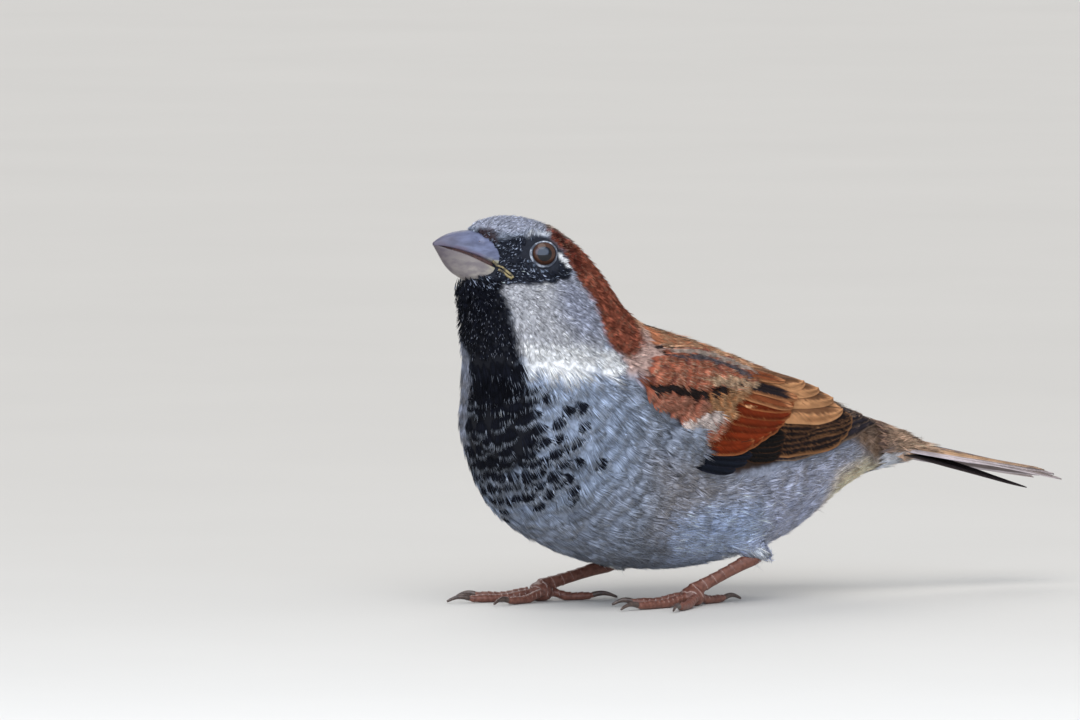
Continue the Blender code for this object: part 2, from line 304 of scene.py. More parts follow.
studio = {
    "turn": 30.0, "rise": 4.0, "away": 3.0, "aim": (24.6, 49.6),
    "lens": 500.0, "sensor": 36, "clip": (0.05, 100),
    "floorSize": 60, "floorTone": (0.64, 0.625, 0.60), "floorMottle": 0.93,
    "worldTone": (0.90, 0.94, 1.0), "worldPower": 0.50,
    "suns": [   # name, turn, rise, width of the glow, power, tone
        ("skyLight", -35, 58, 50, 1.50, (1.0, 0.97, 0.925)),
        ("sideLight", 40, 35, 70, 0.12, (0.92, 0.96, 1.0)),
        ("backLight", 165, 45, 40, 0.8, (1.0, 0.98, 0.95)),
    ],
    "window": (-0.295, -0.41, 0.215), "windowAim": (21, 71),
    "windows": [   # name, share of the way to the window, size, power, tone
        ("glintLight", 1.0, (0.95, 0.48), 2.5, (0.80, 0.88, 1.0)),
        ("eyeGlintLight", 0.95, (1.12, 0.72), 6.6, (0.44, 0.62, 1.0)),
    ],
}
eyeballs = bpy.data.collections.new("eyeballs")


def makeCamera():
    turn, rise = math.radians(studio["turn"]), math.radians(studio["rise"])
    sight = Vector((math.sin(turn) * math.cos(rise), math.cos(turn) * math.cos(rise), -math.sin(rise)))
    place = spot(*studio["aim"]) - sight * studio["away"]
    bpy.ops.object.camera_add(location=place, rotation=sight.to_track_quat("-Z", "Y").to_euler())
    camera = bpy.context.object
    camera.name = "displayCamera"
    camera.data.lens = studio["lens"]
    camera.data.sensor_width = studio["sensor"]
    camera.data.clip_start, camera.data.clip_end = studio["clip"]
    bpy.context.scene.camera = camera


def makeFloor():
    bpy.ops.mesh.primitive_plane_add(size=studio["floorSize"], location=(0, 0, boxLow.z))
    floor = bpy.context.object
    floor.name = "floor"
    material, tree, shader = newMaterial("palePaper", 0.8, 0.2)
    tone = studio["floorTone"]
    darker = tuple(studio["floorMottle"] * c for c in tone)
    colourOn(tree, shader, mixNode(tree, noiseNode(tree, 9.0, 5.0), tone, darker))
    bumpOn(tree, shader, noiseNode(tree, 900.0, 3.0), 0.08, 0.0002)
    floor.data.materials.append(material)
    applyPlace(floor)


def addLight(kind, name, place, towards, power, tone):
    turned = towards.to_track_quat("-Z", "Y").to_euler()
    bpy.ops.object.light_add(type=kind, location=place, rotation=turned)
    light = bpy.context.object
    light.name = name
    light.data.energy, light.data.color = power, tone
    return light


def makeLights():
    for name, turn, rise, glow, power, tone in studio["suns"]:
        turn, rise = math.radians(turn), math.radians(rise)
        place = Vector((math.sin(turn) * math.cos(rise), -math.cos(turn) * math.cos(rise), math.sin(rise)))
        light = addLight("SUN", name, place, -place, power, tone)
        light.data.angle = math.radians(glow)
    face = spot(*studio["windowAim"])
    for name, share, size, power, tone in studio["windows"]:
        place = face.lerp(Vector(studio["window"]), share)
        light = addLight("AREA", name, place, face - place, power, tone)
        light.data.shape = "ELLIPSE"
        light.data.size, light.data.size_y = size
    light.light_linking.receiver_collection = eyeballs      # the nearer window is for the eyes alone
    world = bpy.data.worlds.new("softRoom")
    world.use_nodes = True
    backdrop = world.node_tree.nodes["Background"]
    backdrop.inputs["Color"].default_value = (*studio["worldTone"], 1)
    backdrop.inputs["Strength"].default_value = studio["worldPower"]
    bpy.context.scene.world = world
    bpy.context.scene.view_settings.view_transform = "Standard"


makeCamera()
makeFloor()
makeLights()
print("studio ready")


# the plumage's tones; the blue cast of the grey underparts (belly, breast, rear belly, thigh) is painted
# sky light and shade
tones = {
    # the vent's yellow is painted warm bounce light on whitish buff feathers
    "belly": (0.27, 0.305, 0.385), "flank": (0.355, 0.356, 0.405), "ventWithPaintedBounce": (0.93, 0.78, 0.57),
    # rear belly and thigh: pale feathers, painted paler still as painted light against the shade under the
    # body
    "rearWithPaintedLight": (0.455, 0.487, 0.635), "rump": (0.25, 0.17, 0.125), "breast": (0.305, 0.365, 0.485),
    "silver": (0.5, 0.565, 0.69), "thighWithPaintedLight": (0.44, 0.527, 0.735), "farBreastShade": (0.235, 0.245, 0.30),
    "mantle": (0.64, 0.355, 0.21), "streak": (0.022, 0.014, 0.014), "nape": (0.54, 0.37, 0.32),
    "cheek": (0.50, 0.505, 0.545), "cheekRear": (0.34, 0.36, 0.45), "white": (0.97, 0.98, 1.0),
    "chestnut": (0.25, 0.072, 0.042), "maroon": (0.095, 0.020, 0.013), "hindCrown": (0.25, 0.20, 0.165),
    "crown": (0.39, 0.412, 0.51), "brow": (0.6, 0.63, 0.7), "lore": (0.042, 0.025, 0.029),
    "mask": (0.015, 0.018, 0.029), "eyeSpot": (0.85, 0.87, 0.90), "bib": (0.0045, 0.0055, 0.0105),
    "wingRed": (0.28, 0.08, 0.036), "wingBase": (0.05, 0.028, 0.02), "buff": (0.48, 0.30, 0.185),
    "scapLine": (0.06, 0.045, 0.045), "scapPale": (0.46, 0.35, 0.29),
}

# outlines in side view, as (back, up), laid over each other in this order
markings = [
    ("flank", 4.0, [(38, 31), (60, 25), (90, 31), (88, 20), (62, 11), (40, 15)]),
    # the rear belly and thigh are painted lighter: painted light against the shade under the body
    ("rearWithPaintedLight", 7.0, [(60, 24), (80, 28), (90, 31), (96, 20), (84, 8), (62, 5)]),
    ("thighWithPaintedLight", 4.0, [(44, 18), (52, 21), (64, 21), (68, 14), (60, 8), (48, 8)]),
    # the vent's yellow warmth is painted warm bounce light on whitish buff feathers
    ("ventWithPaintedBounce", 3.0, [(86, 25), (94, 27.5), (104, 26.2), (114, 25.5), (114, 23), (98, 17), (90, 10), (82, 8)]),
    ("rump", 1.6, [(62, 58), (84, 50), (102, 42), (117, 36), (117, 26), (104, 26.6), (96, 28.2), (90, 32.5),
                   (84, 35), (70, 39)]),
    ("breast", 4.0, [(2, 50), (26, 49), (37, 41), (32, 27), (20, 18), (2, 16)]),
    ("mantle", 1.2, [(40, 60), (56, 58), (70, 52), (88, 46), (86, 40), (66, 44), (50, 48.5), (40, 50.5)]),
    ("scapPale", 0.5, [(46, 52.2), (57, 51.0), (62.5, 48.6), (69, 46.0), (68.5, 45.2), (60.5, 47.8),
                       (55, 49.9), (46, 51.3)]),
    ("scapLine", 0.5, [(46, 51.6), (56, 50.2), (61, 47.6), (66, 45.4), (65, 44.4), (60.5, 46.4), (55, 48.9),
                       (46, 50.2)]),
    ("wingRed", 0.8, [(36.8, 46), (39, 50), (47, 49.8), (55, 48.4), (60, 46.2), (66, 44.2), (66, 42.6),
                      (57, 40.5), (53, 39.0), (47.5, 37.8), (44.4, 37.8), (40.3, 41.2), (37.5, 43.8)]),
    ("wingBase", 0.6, [(50, 37), (56, 41), (66, 43), (82, 43), (89, 39), (89, 33), (84, 31),
                       (68, 28.5), (58, 27), (50, 29), (49, 33)]),
    ("cheek", 1.0, [(11.5, 65.8), (18.6, 66.2), (26, 66.8), (30, 64), (31.5, 58), (30, 52.5), (22, 51),
                    (13.5, 52), (13, 60)]),
    ("cheekRear", 3.0, [(22, 68), (27, 67), (31, 63), (32, 57), (30, 54), (25, 55), (22, 60)]),
    ("white", 1.6, [(15, 53.5), (22, 53.0), (27, 52.3), (29, 51), (27.5, 47.8), (22, 46.6), (15.5, 48)]),
    ("nape", 1.6, [(33.6, 52), (37, 56), (44, 56), (46, 50), (40, 47), (34.6, 47.5)]),
    ("white", 0.8, [(28.8, 52.2), (32.6, 52.0), (34.2, 49.0), (31.6, 46.4), (29.0, 47.4)]),
    ("chestnut", 0.7, [(22.7, 76.5), (23.2, 74.2), (25.2, 72), (26, 69), (27.4, 65.8), (30.4, 61),
                       (31, 54.8), (32.6, 52.2), (36, 50.6), (41, 54), (43, 60), (38, 68), (31, 76),
                       (26, 79)]),
    ("maroon", 1.2, [(23.4, 75.8), (24.2, 73.6), (26, 71.6), (26.8, 69), (28, 67), (29.6, 69), (28.6, 72.6),
                     (26, 75.8)]),
    ("crown", 0.7, [(3, 73), (8.5, 77), (12.4, 75.5), (15, 75.5), (18.3, 76), (23, 76.2), (26, 79),
                    (22, 82), (3, 82)]),
    ("brow", 0.3, [(17.5, 75.5), (20, 75.7), (23.4, 75.6), (23.8, 75.0), (21, 75.0), (18, 74.9)]),
    ("mask", 0.5, [(7, 73.5), (9.8, 76.8), (11.4, 76), (13, 74.6), (15, 74.6), (18.3, 75.1), (23, 74.6),
                   (25, 72), (26.2, 68.4), (25, 66.5), (19, 65.5), (15, 65.5), (12, 65.2), (6, 67.0)]),
    ("lore", 0.6, [(9.6, 76.6), (11.4, 76.4), (12.6, 75.4), (12.2, 73.6), (10.2, 74.0)]),
    ("eyeSpot", 0.25, [(23.5, 71.9), (24.5, 71.5), (25.9, 69.9), (25.9, 68.7), (24.8, 68.6), (23.7, 70.3)]),
    ("bib", 0.8, [(2, 67.5), (9, 66.8), (13.2, 66.6), (12.5, 64.5), (12.9, 62), (13.2, 59), (13.8, 55),
                  (14.2, 50.8), (14.0, 46.8), (15.4, 41), (16.2, 35), (14.6, 30), (12.3, 26.5), (2, 24)]),
]
outlines = {name: outline for name, soft, outline in markings}
hindCrownEdge = ([22, 27, 33, 38, 42], [5.4, 4.9, 4.3, 3.0, 0.5])      # back, half its width
# where the bib ends across the breast: up, out
bibEdge = ([30, 36, 39.5, 41.4, 48.4, 50.8, 52, 53.4, 57, 62],
           [-3.5, -3.0, -2.0, 0.6, 0.3, -0.2, -0.8, -2.7, -7, -16])


def wobble(places, size):
    # uneven shifts that make the edges of the markings look grown
    b, u, o = places[:, 0], places[:, 1], places[:, 2]
    broad = np.sin(1.9 * b + 1.1 * o) * np.cos(1.6 * u - 0.7 * o)
    return size * (broad + 0.5 * np.sin(3.7 * u + 2.9 * b + o))


def insideOf(places, outline, soft):
    # 1 inside an outline in side view, 0 outside, over a soft edge
    p = places[:, :2]
    ends = np.array(outline, float)
    starts = np.roll(ends, 1, axis=0)
    near = np.full(len(p), farOff)
    odd = np.zeros(len(p), bool)
    for a, b in zip(starts, ends):
        run = b - a
        t = np.clip(((p - a) @ run) / (run @ run), 0, 1)
        near = np.minimum(near, np.linalg.norm(p - a - t[:, None] * run, axis=1))
        crosses = (a[1] > p[:, 1]) != (b[1] > p[:, 1])
        with np.errstate(divide="ignore", invalid="ignore"):
            odd ^= crosses & (p[:, 0] < a[0] + (p[:, 1] - a[1]) * run[0] / (run[1] if run[1] else 1e-9))
    signed = np.where(odd, near, -near)
    return smoothRise(signed, -soft, soft)


def bibSide(places):
    # the breast is turned, so the bib ends sooner on the far side
    edge = np.interp(places[:, 1], *bibEdge)
    return smoothRise(places[:, 2], edge - 1.0, edge + 1.0)


def blendTo(colour, share, tone):
    return colour + share[:, None] * (np.array(tones[tone]) - colour)


def paint(points):
    # the markings, laid over each other
    places = placesOf(points)
    out = np.abs(places[:, 2])
    shifted = places.copy()
    shifted[:, 0] += wobble(places, 0.25)
    shifted[:, 1] += wobble(places[:, [1, 2, 0]], 0.25)
    colour = np.tile(np.array(tones["belly"]), (len(places), 1))
    for name, soft, outline in markings:
        share = insideOf(shifted, outline, soft)
        if name == "chestnut":    # the grey of the crown runs on between the two bands
            limit = np.interp(places[:, 0], *hindCrownEdge)
            beside = smoothRise(out, limit - 0.9, limit + 0.6)
            colour = blendTo(colour, share * (1 - beside), "hindCrown")
            share = share * beside
        if name == "bib":
            # the far side beyond the bib takes a darker grey: the breast's grey with painted shade on the
            # side turned away
            farSide = 1 - bibSide(places)
            colour = blendTo(colour, 0.8 * share * farSide, "farBreastShade")
            share = share * (1 - farSide)
        colour = blendTo(colour, share, name)
    return colour


# the skin is one surface over head, neck, trunk, shins and wing fronts
eyeCentres = {side: sum(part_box("eye_" + side), Vector()) / 2 for side in sides}
eyeRadius = max(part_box("eye_left")[1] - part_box("eye_left")[0]) / 2
gazes = {side: Vector((-0.36, -sign, 0.03)).normalized() for side, sign in sides.items()}
lidRadius = 0.775 * eyeRadius
lidReach = math.sqrt(eyeRadius ** 2 - lidRadius ** 2)
lidSeats = {side: eyeCentres[side] + gazes[side] * lidReach for side in sides}


def offEye(points):
    # mm from the middle line of the nearer eye, looking into it
    best = np.full(len(points), farOff)
    for side in sides:
        rel = (points - np.array(lidSeats[side])) / mm
        axial = rel @ np.array(gazes[side])
        radial = np.linalg.norm(rel - axial[:, None] * np.array(gazes[side]), axis=1)
        best = np.where(axial > -3, np.minimum(best, radial), best)
    return best


skinSize = {
    "grow": 0.25, "voxel": 0.55, "rounds": 20, "formRounds": 10,
    "billCut": (5.0, 72), "tailCut": (115, 30), "quillCut": 5,     # how much of the other parts it takes in
    "depth": 0.75, "faceDepth": 0.45, "breastDepth": 1.15, "backDepth": 0.2, "billDepth": 1.15,
    "eyeDepth": 1.5, "rimDepth": 0.3, "ankleDepth": 0.45, "slope": 0.12, "throatShare": 0.8,
}
flesh = ["head", "neck", "trunk", "shin_left", "shin_right", "wing_coverts_left", "wing_coverts_right"]
quills = ["wing_quills_left", "wing_quills_right"]
bills = ["bill_upper", "bill_lower"]
shanks = ["tarsus_left", "tarsus_right"]


def blendShape(piece, grow, voxel, rounds):
    # the parts swell a little, so that they meet, and become one even surface
    swell = piece.modifiers.new("swell", "DISPLACE")
    swell.strength, swell.mid_level = grow * mm, 0
    remesh = piece.modifiers.new("remesh", "REMESH")
    remesh.mode, remesh.voxel_size = "VOXEL", voxel * mm
    ease = piece.modifiers.new("ease", "SMOOTH")
    ease.factor, ease.iterations = 0.5, rounds
    applyModifiers(piece)


def makeForm():
    # a guide for the long feathers, taken away at the end
    form = copyOf(flesh + quills, "form")
    blendShape(form, skinSize["grow"], skinSize["voxel"], skinSize["formRounds"])
    return form


def skinDepths(points):
    # how deep the skin lies in the solids, which is how thick the coat is over it
    places = placesOf(points)
    depth = np.full(len(points), skinSize["depth"])
    face = smoothRise(places[:, 1], 52, 60) * smoothRise(-places[:, 0], -36, -28)
    depth += face * (skinSize["faceDepth"] - depth)
    throat = smoothRise(-places[:, 0], -15, -9) * smoothRise(places[:, 1], 24, 34)
    depth *= 1 - skinSize["throatShare"] * throat
    crop = smoothRise(-places[:, 0], -34, -24) * smoothRise(-places[:, 1], -38, -26)
    depth += crop * (skinSize["breastDepth"] - depth)
    top = smoothRise(places[:, 1], 44, 56) * smoothRise(places[:, 0], 21, 31)
    top = np.maximum(top, smoothRise(places[:, 1], 73, 76))      # crown, nape and mantle
    depth += top * (skinSize["backDepth"] - depth)
    billGap = distancesTo(nodeSurface(bills), points)
    rim = np.minimum(billGap, distancesTo(nodeSurface(["eye_left", "eye_right"]), points))
    ankle = distancesTo(nodeSurface(shanks), points)
    depth = np.minimum(depth, skinSize["rimDepth"] + skinSize["slope"] * rim)
    depth = np.minimum(depth, skinSize["ankleDepth"] + skinSize["slope"] * ankle)
    onBill = smoothRise(-billGap, -0.95, -0.45) * smoothRise(-places[:, 0], -14.5, -12.5)
    depth += onBill * (skinSize["billDepth"] - depth)            # the bill stands clear of the skin
    inLids = smoothRise(-offEye(points), -lidRadius / mm - 0.1, -lidRadius / mm + 0.5)
    return depth + inLids * (skinSize["eyeDepth"] - depth)


def makeSkin():
    piece = copyOf(flesh + ["eye_left", "eye_right"], "skin")
    billStub = cutOff(copyOf(bills, "billStub"), spot(*skinSize["billCut"]), (-1, 0, 0))
    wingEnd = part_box("wing_coverts_left")[1].x + skinSize["quillCut"] * mm
    quillStub = cutOff(copyOf(quills, "quillStub"), (wingEnd, 0, 0), (1, 0, 0))
    tailStub = cutOff(copyOf(["tail"], "tailStub"), spot(*skinSize["tailCut"]), (1, 0, 0))
    piece = joinAll([piece, billStub, quillStub, tailStub], "skin")
    blendShape(piece, skinSize["grow"], skinSize["voxel"], skinSize["rounds"])
    depth = skinDepths(pointsOf(piece.data))
    group = piece.vertex_groups.new(name="depth")
    most = skinSize["eyeDepth"] + skinSize["grow"]
    for i, share in enumerate((depth + skinSize["grow"]) / most):
        group.add([i], float(share), "REPLACE")
    sink = piece.modifiers.new("sink", "DISPLACE")
    sink.strength, sink.mid_level, sink.vertex_group = -most * mm, 0, "depth"
    ease = piece.modifiers.new("ease", "SMOOTH")
    ease.factor, ease.iterations = 0.5, 2
    applyModifiers(piece)
    piece.vertex_groups.clear()
    return piece


form = makeForm()
skin = makeSkin()
formSurface = surfaceOf(form)
skinSurface = surfaceOf(skin)
print("skin faces", len(skin.data.polygons))


# the lie of the plumage, as (back, up, angle): 0 lies straight back, 90 up, -90 down
lieMarks = [
    (6, 77, 35), (11, 78, 15), (19, 79, 0), (27, 76, -30), (34, 68, -55), (38, 60, -58), (43, 54, -28),
    (44, 47, -40), (51, 46, -36), (58, 44, -26), (42, 42, -34), (50, 39.5, -24), (56, 51, -14),
    (75, 45, -16), (98, 36, -14), (112, 31, -13), (12, 71, 12), (17, 75, 8), (17, 68, -18),
    (23, 67, -22), (28, 65, -45), (20, 60, -42), (26, 55, -50), (33, 53, -50), (8, 66, -50), (8, 58, -86),
    (8, 46, -90), (7, 36, -88), (10, 25, -68), (17, 18, -38), (30, 12, -14), (50, 8, 0), (66, 10, 14),
    (82, 16, 30), (98, 23, 26), (112, 27, 4), (14, 52, -72), (22, 46, -62), (30, 44, -46), (36, 36, -30),
    (46, 26, -14), (60, 20, -4), (76, 24, 4), (90, 30, 0), (62, 40, -12), (20, 34, -56),
]


def alongSurface(flow, normals):
    flow = flow - (flow * normals).sum(1, keepdims=True) * normals
    return unitRows(flow)


def lieAt(points, normals):
    # the direction in which a feather lies
    places = placesOf(points)
    marks = np.array(lieMarks, float)
    gaps = ((places[:, None, :2] - marks[None, :, :2]) ** 2).sum(2)
    shares = 1 / (gaps + 1.0) ** 1.8
    angles = np.radians(marks[:, 2])
    along = (shares * np.cos(angles)).sum(1)
    rise = (shares * np.sin(angles)).sum(1)
    flow = unitRows(np.stack([along, np.zeros(len(along)), rise], 1))
    front = smoothRise(-places[:, 0], -22, -10) * smoothRise(-places[:, 1], -60, -48)
    flow[:, 1] -= 0.30 * front * np.clip(places[:, 2] / 10, -1, 1)
    for side in sides:
        rel = points - np.array(eyeCentres[side])
        gap = np.linalg.norm(rel, axis=1) / mm
        push = 1.15 * smoothRise(-gap, -7.0, -4.2)
        flow += push[:, None] * unitRows(rel - (rel * normals).sum(1, keepdims=True) * normals)
    return alongSurface(flow, normals)


def forwardLie(points, normals):
    # the short feathers round the bill point at it
    return alongSurface(np.array(spot(6, 70.5)) - points, normals)


def hangingLie(points, normals):
    # the feathers at the ankle hang down and back
    return alongSurface(np.tile([0.80, 0.0, -0.60], (len(points), 1)), normals)


bodyLine = [(0, 71), (20, 68), (30, 55), (44, 36), (60, 28), (85, 29), (116, 30)]


def bodyMap(points):
    # an unwrap of the body: how far along it, and the angle round it
    places = placesOf(points)
    spine = np.array(bodyLine, float)
    runs = np.cumsum(np.r_[0, np.linalg.norm(np.diff(spine, axis=0), axis=1)])
    best = np.full(len(places), farOff)
    along, over = np.zeros(len(places)), np.zeros(len(places))
    for i in range(len(spine) - 1):
        run = spine[i + 1] - spine[i]
        rel = places[:, :2] - spine[i]
        t = np.clip(rel @ run / (run @ run), 0, 1)
        miss = rel - t[:, None] * run
        gap = np.linalg.norm(miss, axis=1)
        closer = gap < best
        best = np.where(closer, gap, best)
        along = np.where(closer, runs[i] + t * np.linalg.norm(run), along)
        turn = (run[0] * rel[:, 1] - run[1] * rel[:, 0]) / np.linalg.norm(run)
        over = np.where(closer, turn, over)
    return np.stack([along / runs[-1], np.arctan2(places[:, 2], over) / (2 * math.pi) + 0.5], 1)


def scatterRoots(piece, gapsFor, seed):
    # roots spread evenly at random over a piece, closer together where the feathers are small
    local = np.random.default_rng(seed)
    mesh = piece.data
    mesh.calc_loop_triangles()
    tris = np.zeros(len(mesh.loop_triangles) * 3, np.int32)
    mesh.loop_triangles.foreach_get("vertices", tris)
    corners = pointsOf(mesh)[tris.reshape(-1, 3)]
    crosses = np.cross(corners[:, 1] - corners[:, 0], corners[:, 2] - corners[:, 0])
    areas = np.linalg.norm(crosses, axis=1) / 2
    spacing = gapsFor(corners.mean(1))       # mm, 0 where nothing grows
    weight = np.where(spacing > 0, areas / np.maximum(spacing, 0.1) ** 2, 0)
    count = int(5 * weight.sum() / mm ** 2)
    chosen = local.choice(len(areas), count, p=weight / weight.sum())
    a, b = local.random((2, count, 1))
    flip = a + b > 1
    a, b = np.where(flip, 1 - a, a), np.where(flip, 1 - b, b)
    first, second, third = corners[chosen].transpose(1, 0, 2)
    points = first + a * (second - first) + b * (third - first)
    gaps = spacing[chosen] * mm
    tree = KDTree(count)
    for i, p in enumerate(points):
        tree.insert(p, i)
    tree.balance()
    alive = np.ones(count, bool)
    for i in range(count):
        if alive[i]:
            for _, j, _ in tree.find_range(points[i], gaps[i]):
                if j > i:
                    alive[j] = False
    return points[alive]


# where a blade starts, at the middle and farther along at a tuft's sides, which are flatter too
bladeShape = {"start": (0.10, 0.32), "late": 0.12, "ridge": 0.45, "flatter": 0.35, "uneven": 0.06}
# a blade's five points are root, left, ridge, right and tip
bladeFaces = np.array([[0, 2, 1], [0, 3, 2], [1, 2, 4], [2, 3, 4], [0, 1, 3], [1, 4, 3]])
bladeUnwrap = 0.0015      # how wide a tuft lies in its map


def layGuides(roots, length, flowOf, surface):
    # four stations along each feather: its place, the way up and the way it lies
    foot, normal = snapTo(surface, roots)
    stations = [(foot, normal, flowOf(foot, normal))]
    for _ in range(3):
        here, up, flow = stations[-1]
        here, up = snapTo(surface, here + flow * (length * mm / 3)[:, None])
        stations.append((here, up, flowOf(here, up)))
    guide, raised, lies = (np.stack(rows, 1) for rows in zip(*stations))
    return guide, unitRows(raised), lies


def bladePoints(centre, sideAt, upAt, half):
    root, middle, tip = centre[:, :, 0], centre[:, :, 1], centre[:, :, 2]
    wide = sideAt[:, :, 1] * half[..., None]
    ridge = middle + upAt[:, :, 1] * (bladeShape["ridge"] * half)[..., None]
    return np.stack([root, middle - wide, ridge, middle + wide, tip], 2)


def bladeMap(across, t):
    # where a blade's five points lie in the tuft's map
    uv = np.stack([across, t * 2 - 1], -1)[:, :, [0, 1, 1, 1, 2]]
    uv[:, :, 1, 0] -= 0.12
    uv[:, :, 3, 0] += 0.12
    uv[:, :, 2, 1] += 0.08
    return uv


def growTufts(roots, size, seed):
    # each feather is a fan of fine closed blades; size gives length, spread, width and lift in mm
    local = np.random.default_rng(seed)
    count, blades = len(roots), size["blades"]
    length = np.broadcast_to(size["length"], count) * local.uniform(0.85, 1.15, count)
    spread = np.broadcast_to(size["spread"], count) * local.uniform(0.9, 1.1, count)
    lift = np.broadcast_to(size["lift"], count) * local.uniform(0.7, 1.3, count)
    width = np.broadcast_to(size["width"], count)
    flowOf, surface = size.get("flow", lieAt), size.get("surface", skinSurface)
    guide, raised, lies = layGuides(roots, length, flowOf, surface)
    across = np.cross(raised, lies)
    turn = local.normal(0, size.get("turn", 0.16), (count, 1, 1))

    u = np.linspace(-1, 1, blades)[None] + local.uniform(-0.6, 0.6, (count, blades)) / blades
    first, later = bladeShape["start"]
    start = first + later * np.abs(u) ** 1.4 + local.uniform(0, bladeShape["late"], u.shape)
    end = 1 - size.get("round", 0.30) * u ** 2 + local.normal(0, size.get("ragged", 0.05), u.shape)
    blend = np.array([0.0, 0.5, 1.0])
    t = start[..., None] + (end - start)[..., None] * blend     # roots, blades, 3 stations

    def along(rows):
        place = np.clip(t, 0, 0.9999) * 3
        i = place.astype(int)
        f = (place - i)[..., None]
        pick = np.arange(count)[:, None, None]
        return rows[pick, i] * (1 - f) + rows[pick, np.minimum(i + 1, 3)] * f

    centre, upAt, sideAt = along(guide), unitRows(along(raised)), unitRows(along(across))
    narrow = size.get("fan", 0.4)
    fan = narrow + (1 - narrow) * np.clip((t - start[..., None]) / (end - start)[..., None], 0, 1) ** 0.8
    offset = u[..., None] * fan * spread[:, None, None] + turn * t ** 1.5 * length[:, None, None]
    base = np.broadcast_to(size.get("base", -0.12), count)
    lower = 1 - bladeShape["flatter"] * u[..., None] ** 2
    rise = base[:, None, None] + lift[:, None, None] * t ** 1.3 * lower
    rise = rise + local.normal(0, bladeShape["uneven"], u.shape)[..., None] * t
    stray = local.normal(0, size.get("stray", 0.06), u.shape)[..., None]
    offset = offset + stray * t ** 2 * length[:, None, None]
    centre = centre + sideAt * (offset * mm)[..., None] + upAt * (rise * mm)[..., None]
    half = width[:, None] * local.uniform(0.75, 1.25, u.shape) / 2 * mm
    points = bladePoints(centre, sideAt, upAt, half)
    return {
        "points": points, "uv": bladeMap(u[..., None] * fan, t), "root": guide[:, 0], "u": u, "t": t,
        "along": np.broadcast_to(np.array([0.0, 0.5, 0.5, 0.5, 1.0]), points.shape[:3]),
    }


def meshFromTriangles(name, points, faces):
    mesh = bpy.data.meshes.new(name)
    mesh.vertices.add(len(points))
    mesh.vertices.foreach_set("co", points.ravel().astype(np.float32))
    mesh.loops.add(faces.size)
    mesh.loops.foreach_set("vertex_index", faces.ravel().astype(np.int32))
    mesh.polygons.add(len(faces))
    mesh.polygons.foreach_set("loop_start", np.arange(0, faces.size, 3, dtype=np.int32))
    mesh.update(calc_edges=True)
    return addPiece(name, mesh)


def coatPiece(name, tufts, tint, fringe, turnAt, material):
    # tint and fringe are each blade's colours, and turnAt is how far along it they meet
    points = tufts["points"].reshape(-1, 3)
    blades = len(points) // 5
    faces = (bladeFaces[None] + 5 * np.arange(blades)[:, None, None]).reshape(-1, 3)
    piece = meshFromTriangles(name, points, faces)
    mesh = piece.data
    setValues(mesh, "tint", "FLOAT_COLOR", np.repeat(tint.reshape(-1, 3), 5, axis=0))
    setValues(mesh, "fringe", "FLOAT_COLOR", np.repeat(fringe.reshape(-1, 3), 5, axis=0))
    setValues(mesh, "along", "FLOAT", tufts["along"].ravel())
    setValues(mesh, "turnAt", "FLOAT", np.repeat(turnAt.ravel(), 5))
    homes = bodyMap(tufts["root"])
    low, high = homes.min(0), homes.max(0)
    homes = 0.01 + 0.98 * (homes - low) / np.maximum(high - low, 1e-6)
    uv = homes[:, None, None] + tufts["uv"] * bladeUnwrap
    setMap(mesh, "OFBake", np.clip(uv, 0, 1).reshape(-1, 2))
    finishPiece(piece, material)
    print(name, "triangles", len(faces))
    return piece


def plumeMaterial():
    material, tree, shader = newMaterial("softPlume", 0.7, 0.09)
    speck = noiseNode(tree, 2600.0, 2.0)
    border = mathNode(tree, "MULTIPLY_ADD", speck, 0.16, readValue(tree, "along"))
    border = mathNode(tree, "SUBTRACT", border, readValue(tree, "turnAt"))
    share = riseNode(tree, border, 0.0, 0.18)
    colour = mixNode(tree, share, readValue(tree, "tint", "Color"), readValue(tree, "fringe", "Color"))
    colourOn(tree, shader, unevenTone(tree, colour, 420.0, 3.0, 0.86, 1.12))
    bumpOn(tree, shader, speck, 0.25, 0.00003)
    return material


def skinMaterial():
    material, tree, shader = newMaterial("downySkin", 0.8, 0.2)
    # the skin takes the markings' colours darkened to 0.55-0.85 in soft patches: painted shade, as it shows
    # only between the feathers
    colourOn(tree, shader, unevenTone(tree, readValue(tree, "tint", "Color"), 1500.0, 4.0, 0.55, 0.85))
    bumpOn(tree, shader, noiseNode(tree, 2200.0, 3.0), 0.5, 0.0001)
    return material


plume = plumeMaterial()
setValues(skin.data, "tint", "FLOAT_COLOR", paint(pointsOf(skin.data)))
finishPiece(skin, skinMaterial(), flesh)
quillSurface = nodeSurface(quills)
tailSurface = nodeSurface(["tail"])


def inOutline(points, outline):
    return insideOf(placesOf(points), outline, 0.01) > 0.5


# the wing's long feathers, and the short ones that lie over their roots
vaneField = [
    (46, 35), (48, 37.5), (51.5, 40.3), (56, 42.5), (63, 44.2), (74, 45.0), (90, 43), (102, 38), (102, 30),
    (84, 30.5), (68, 28), (60, 25.5), (50, 26.5), (45.5, 29),
]
wingFront = [
    (36.3, 45.5), (38, 50.5), (44, 52.5), (52, 51.8), (59, 49.6), (63, 47.4), (60.5, 44.6), (55, 42.6),
    (51.8, 39), (48.8, 36.0), (46.4, 35.4), (44, 37.8), (40, 41), (37.2, 43.4),
]
wingInner = 9             # mm from the middle plane, past which a place is the wing's


def outsideBill(points):
    # mm from the bill, less than nothing inside it
    best = np.full(len(points), farOff)
    for node in bills:
        spots, normals = snapTo(nodeSurface([node]), points)
        gap = np.linalg.norm(points - spots, axis=1) / mm
        behind = (((points - spots) * normals).sum(1) < 0) & (gap < 2.5)
        best = np.minimum(best, np.where(behind, -gap, gap))
    return best


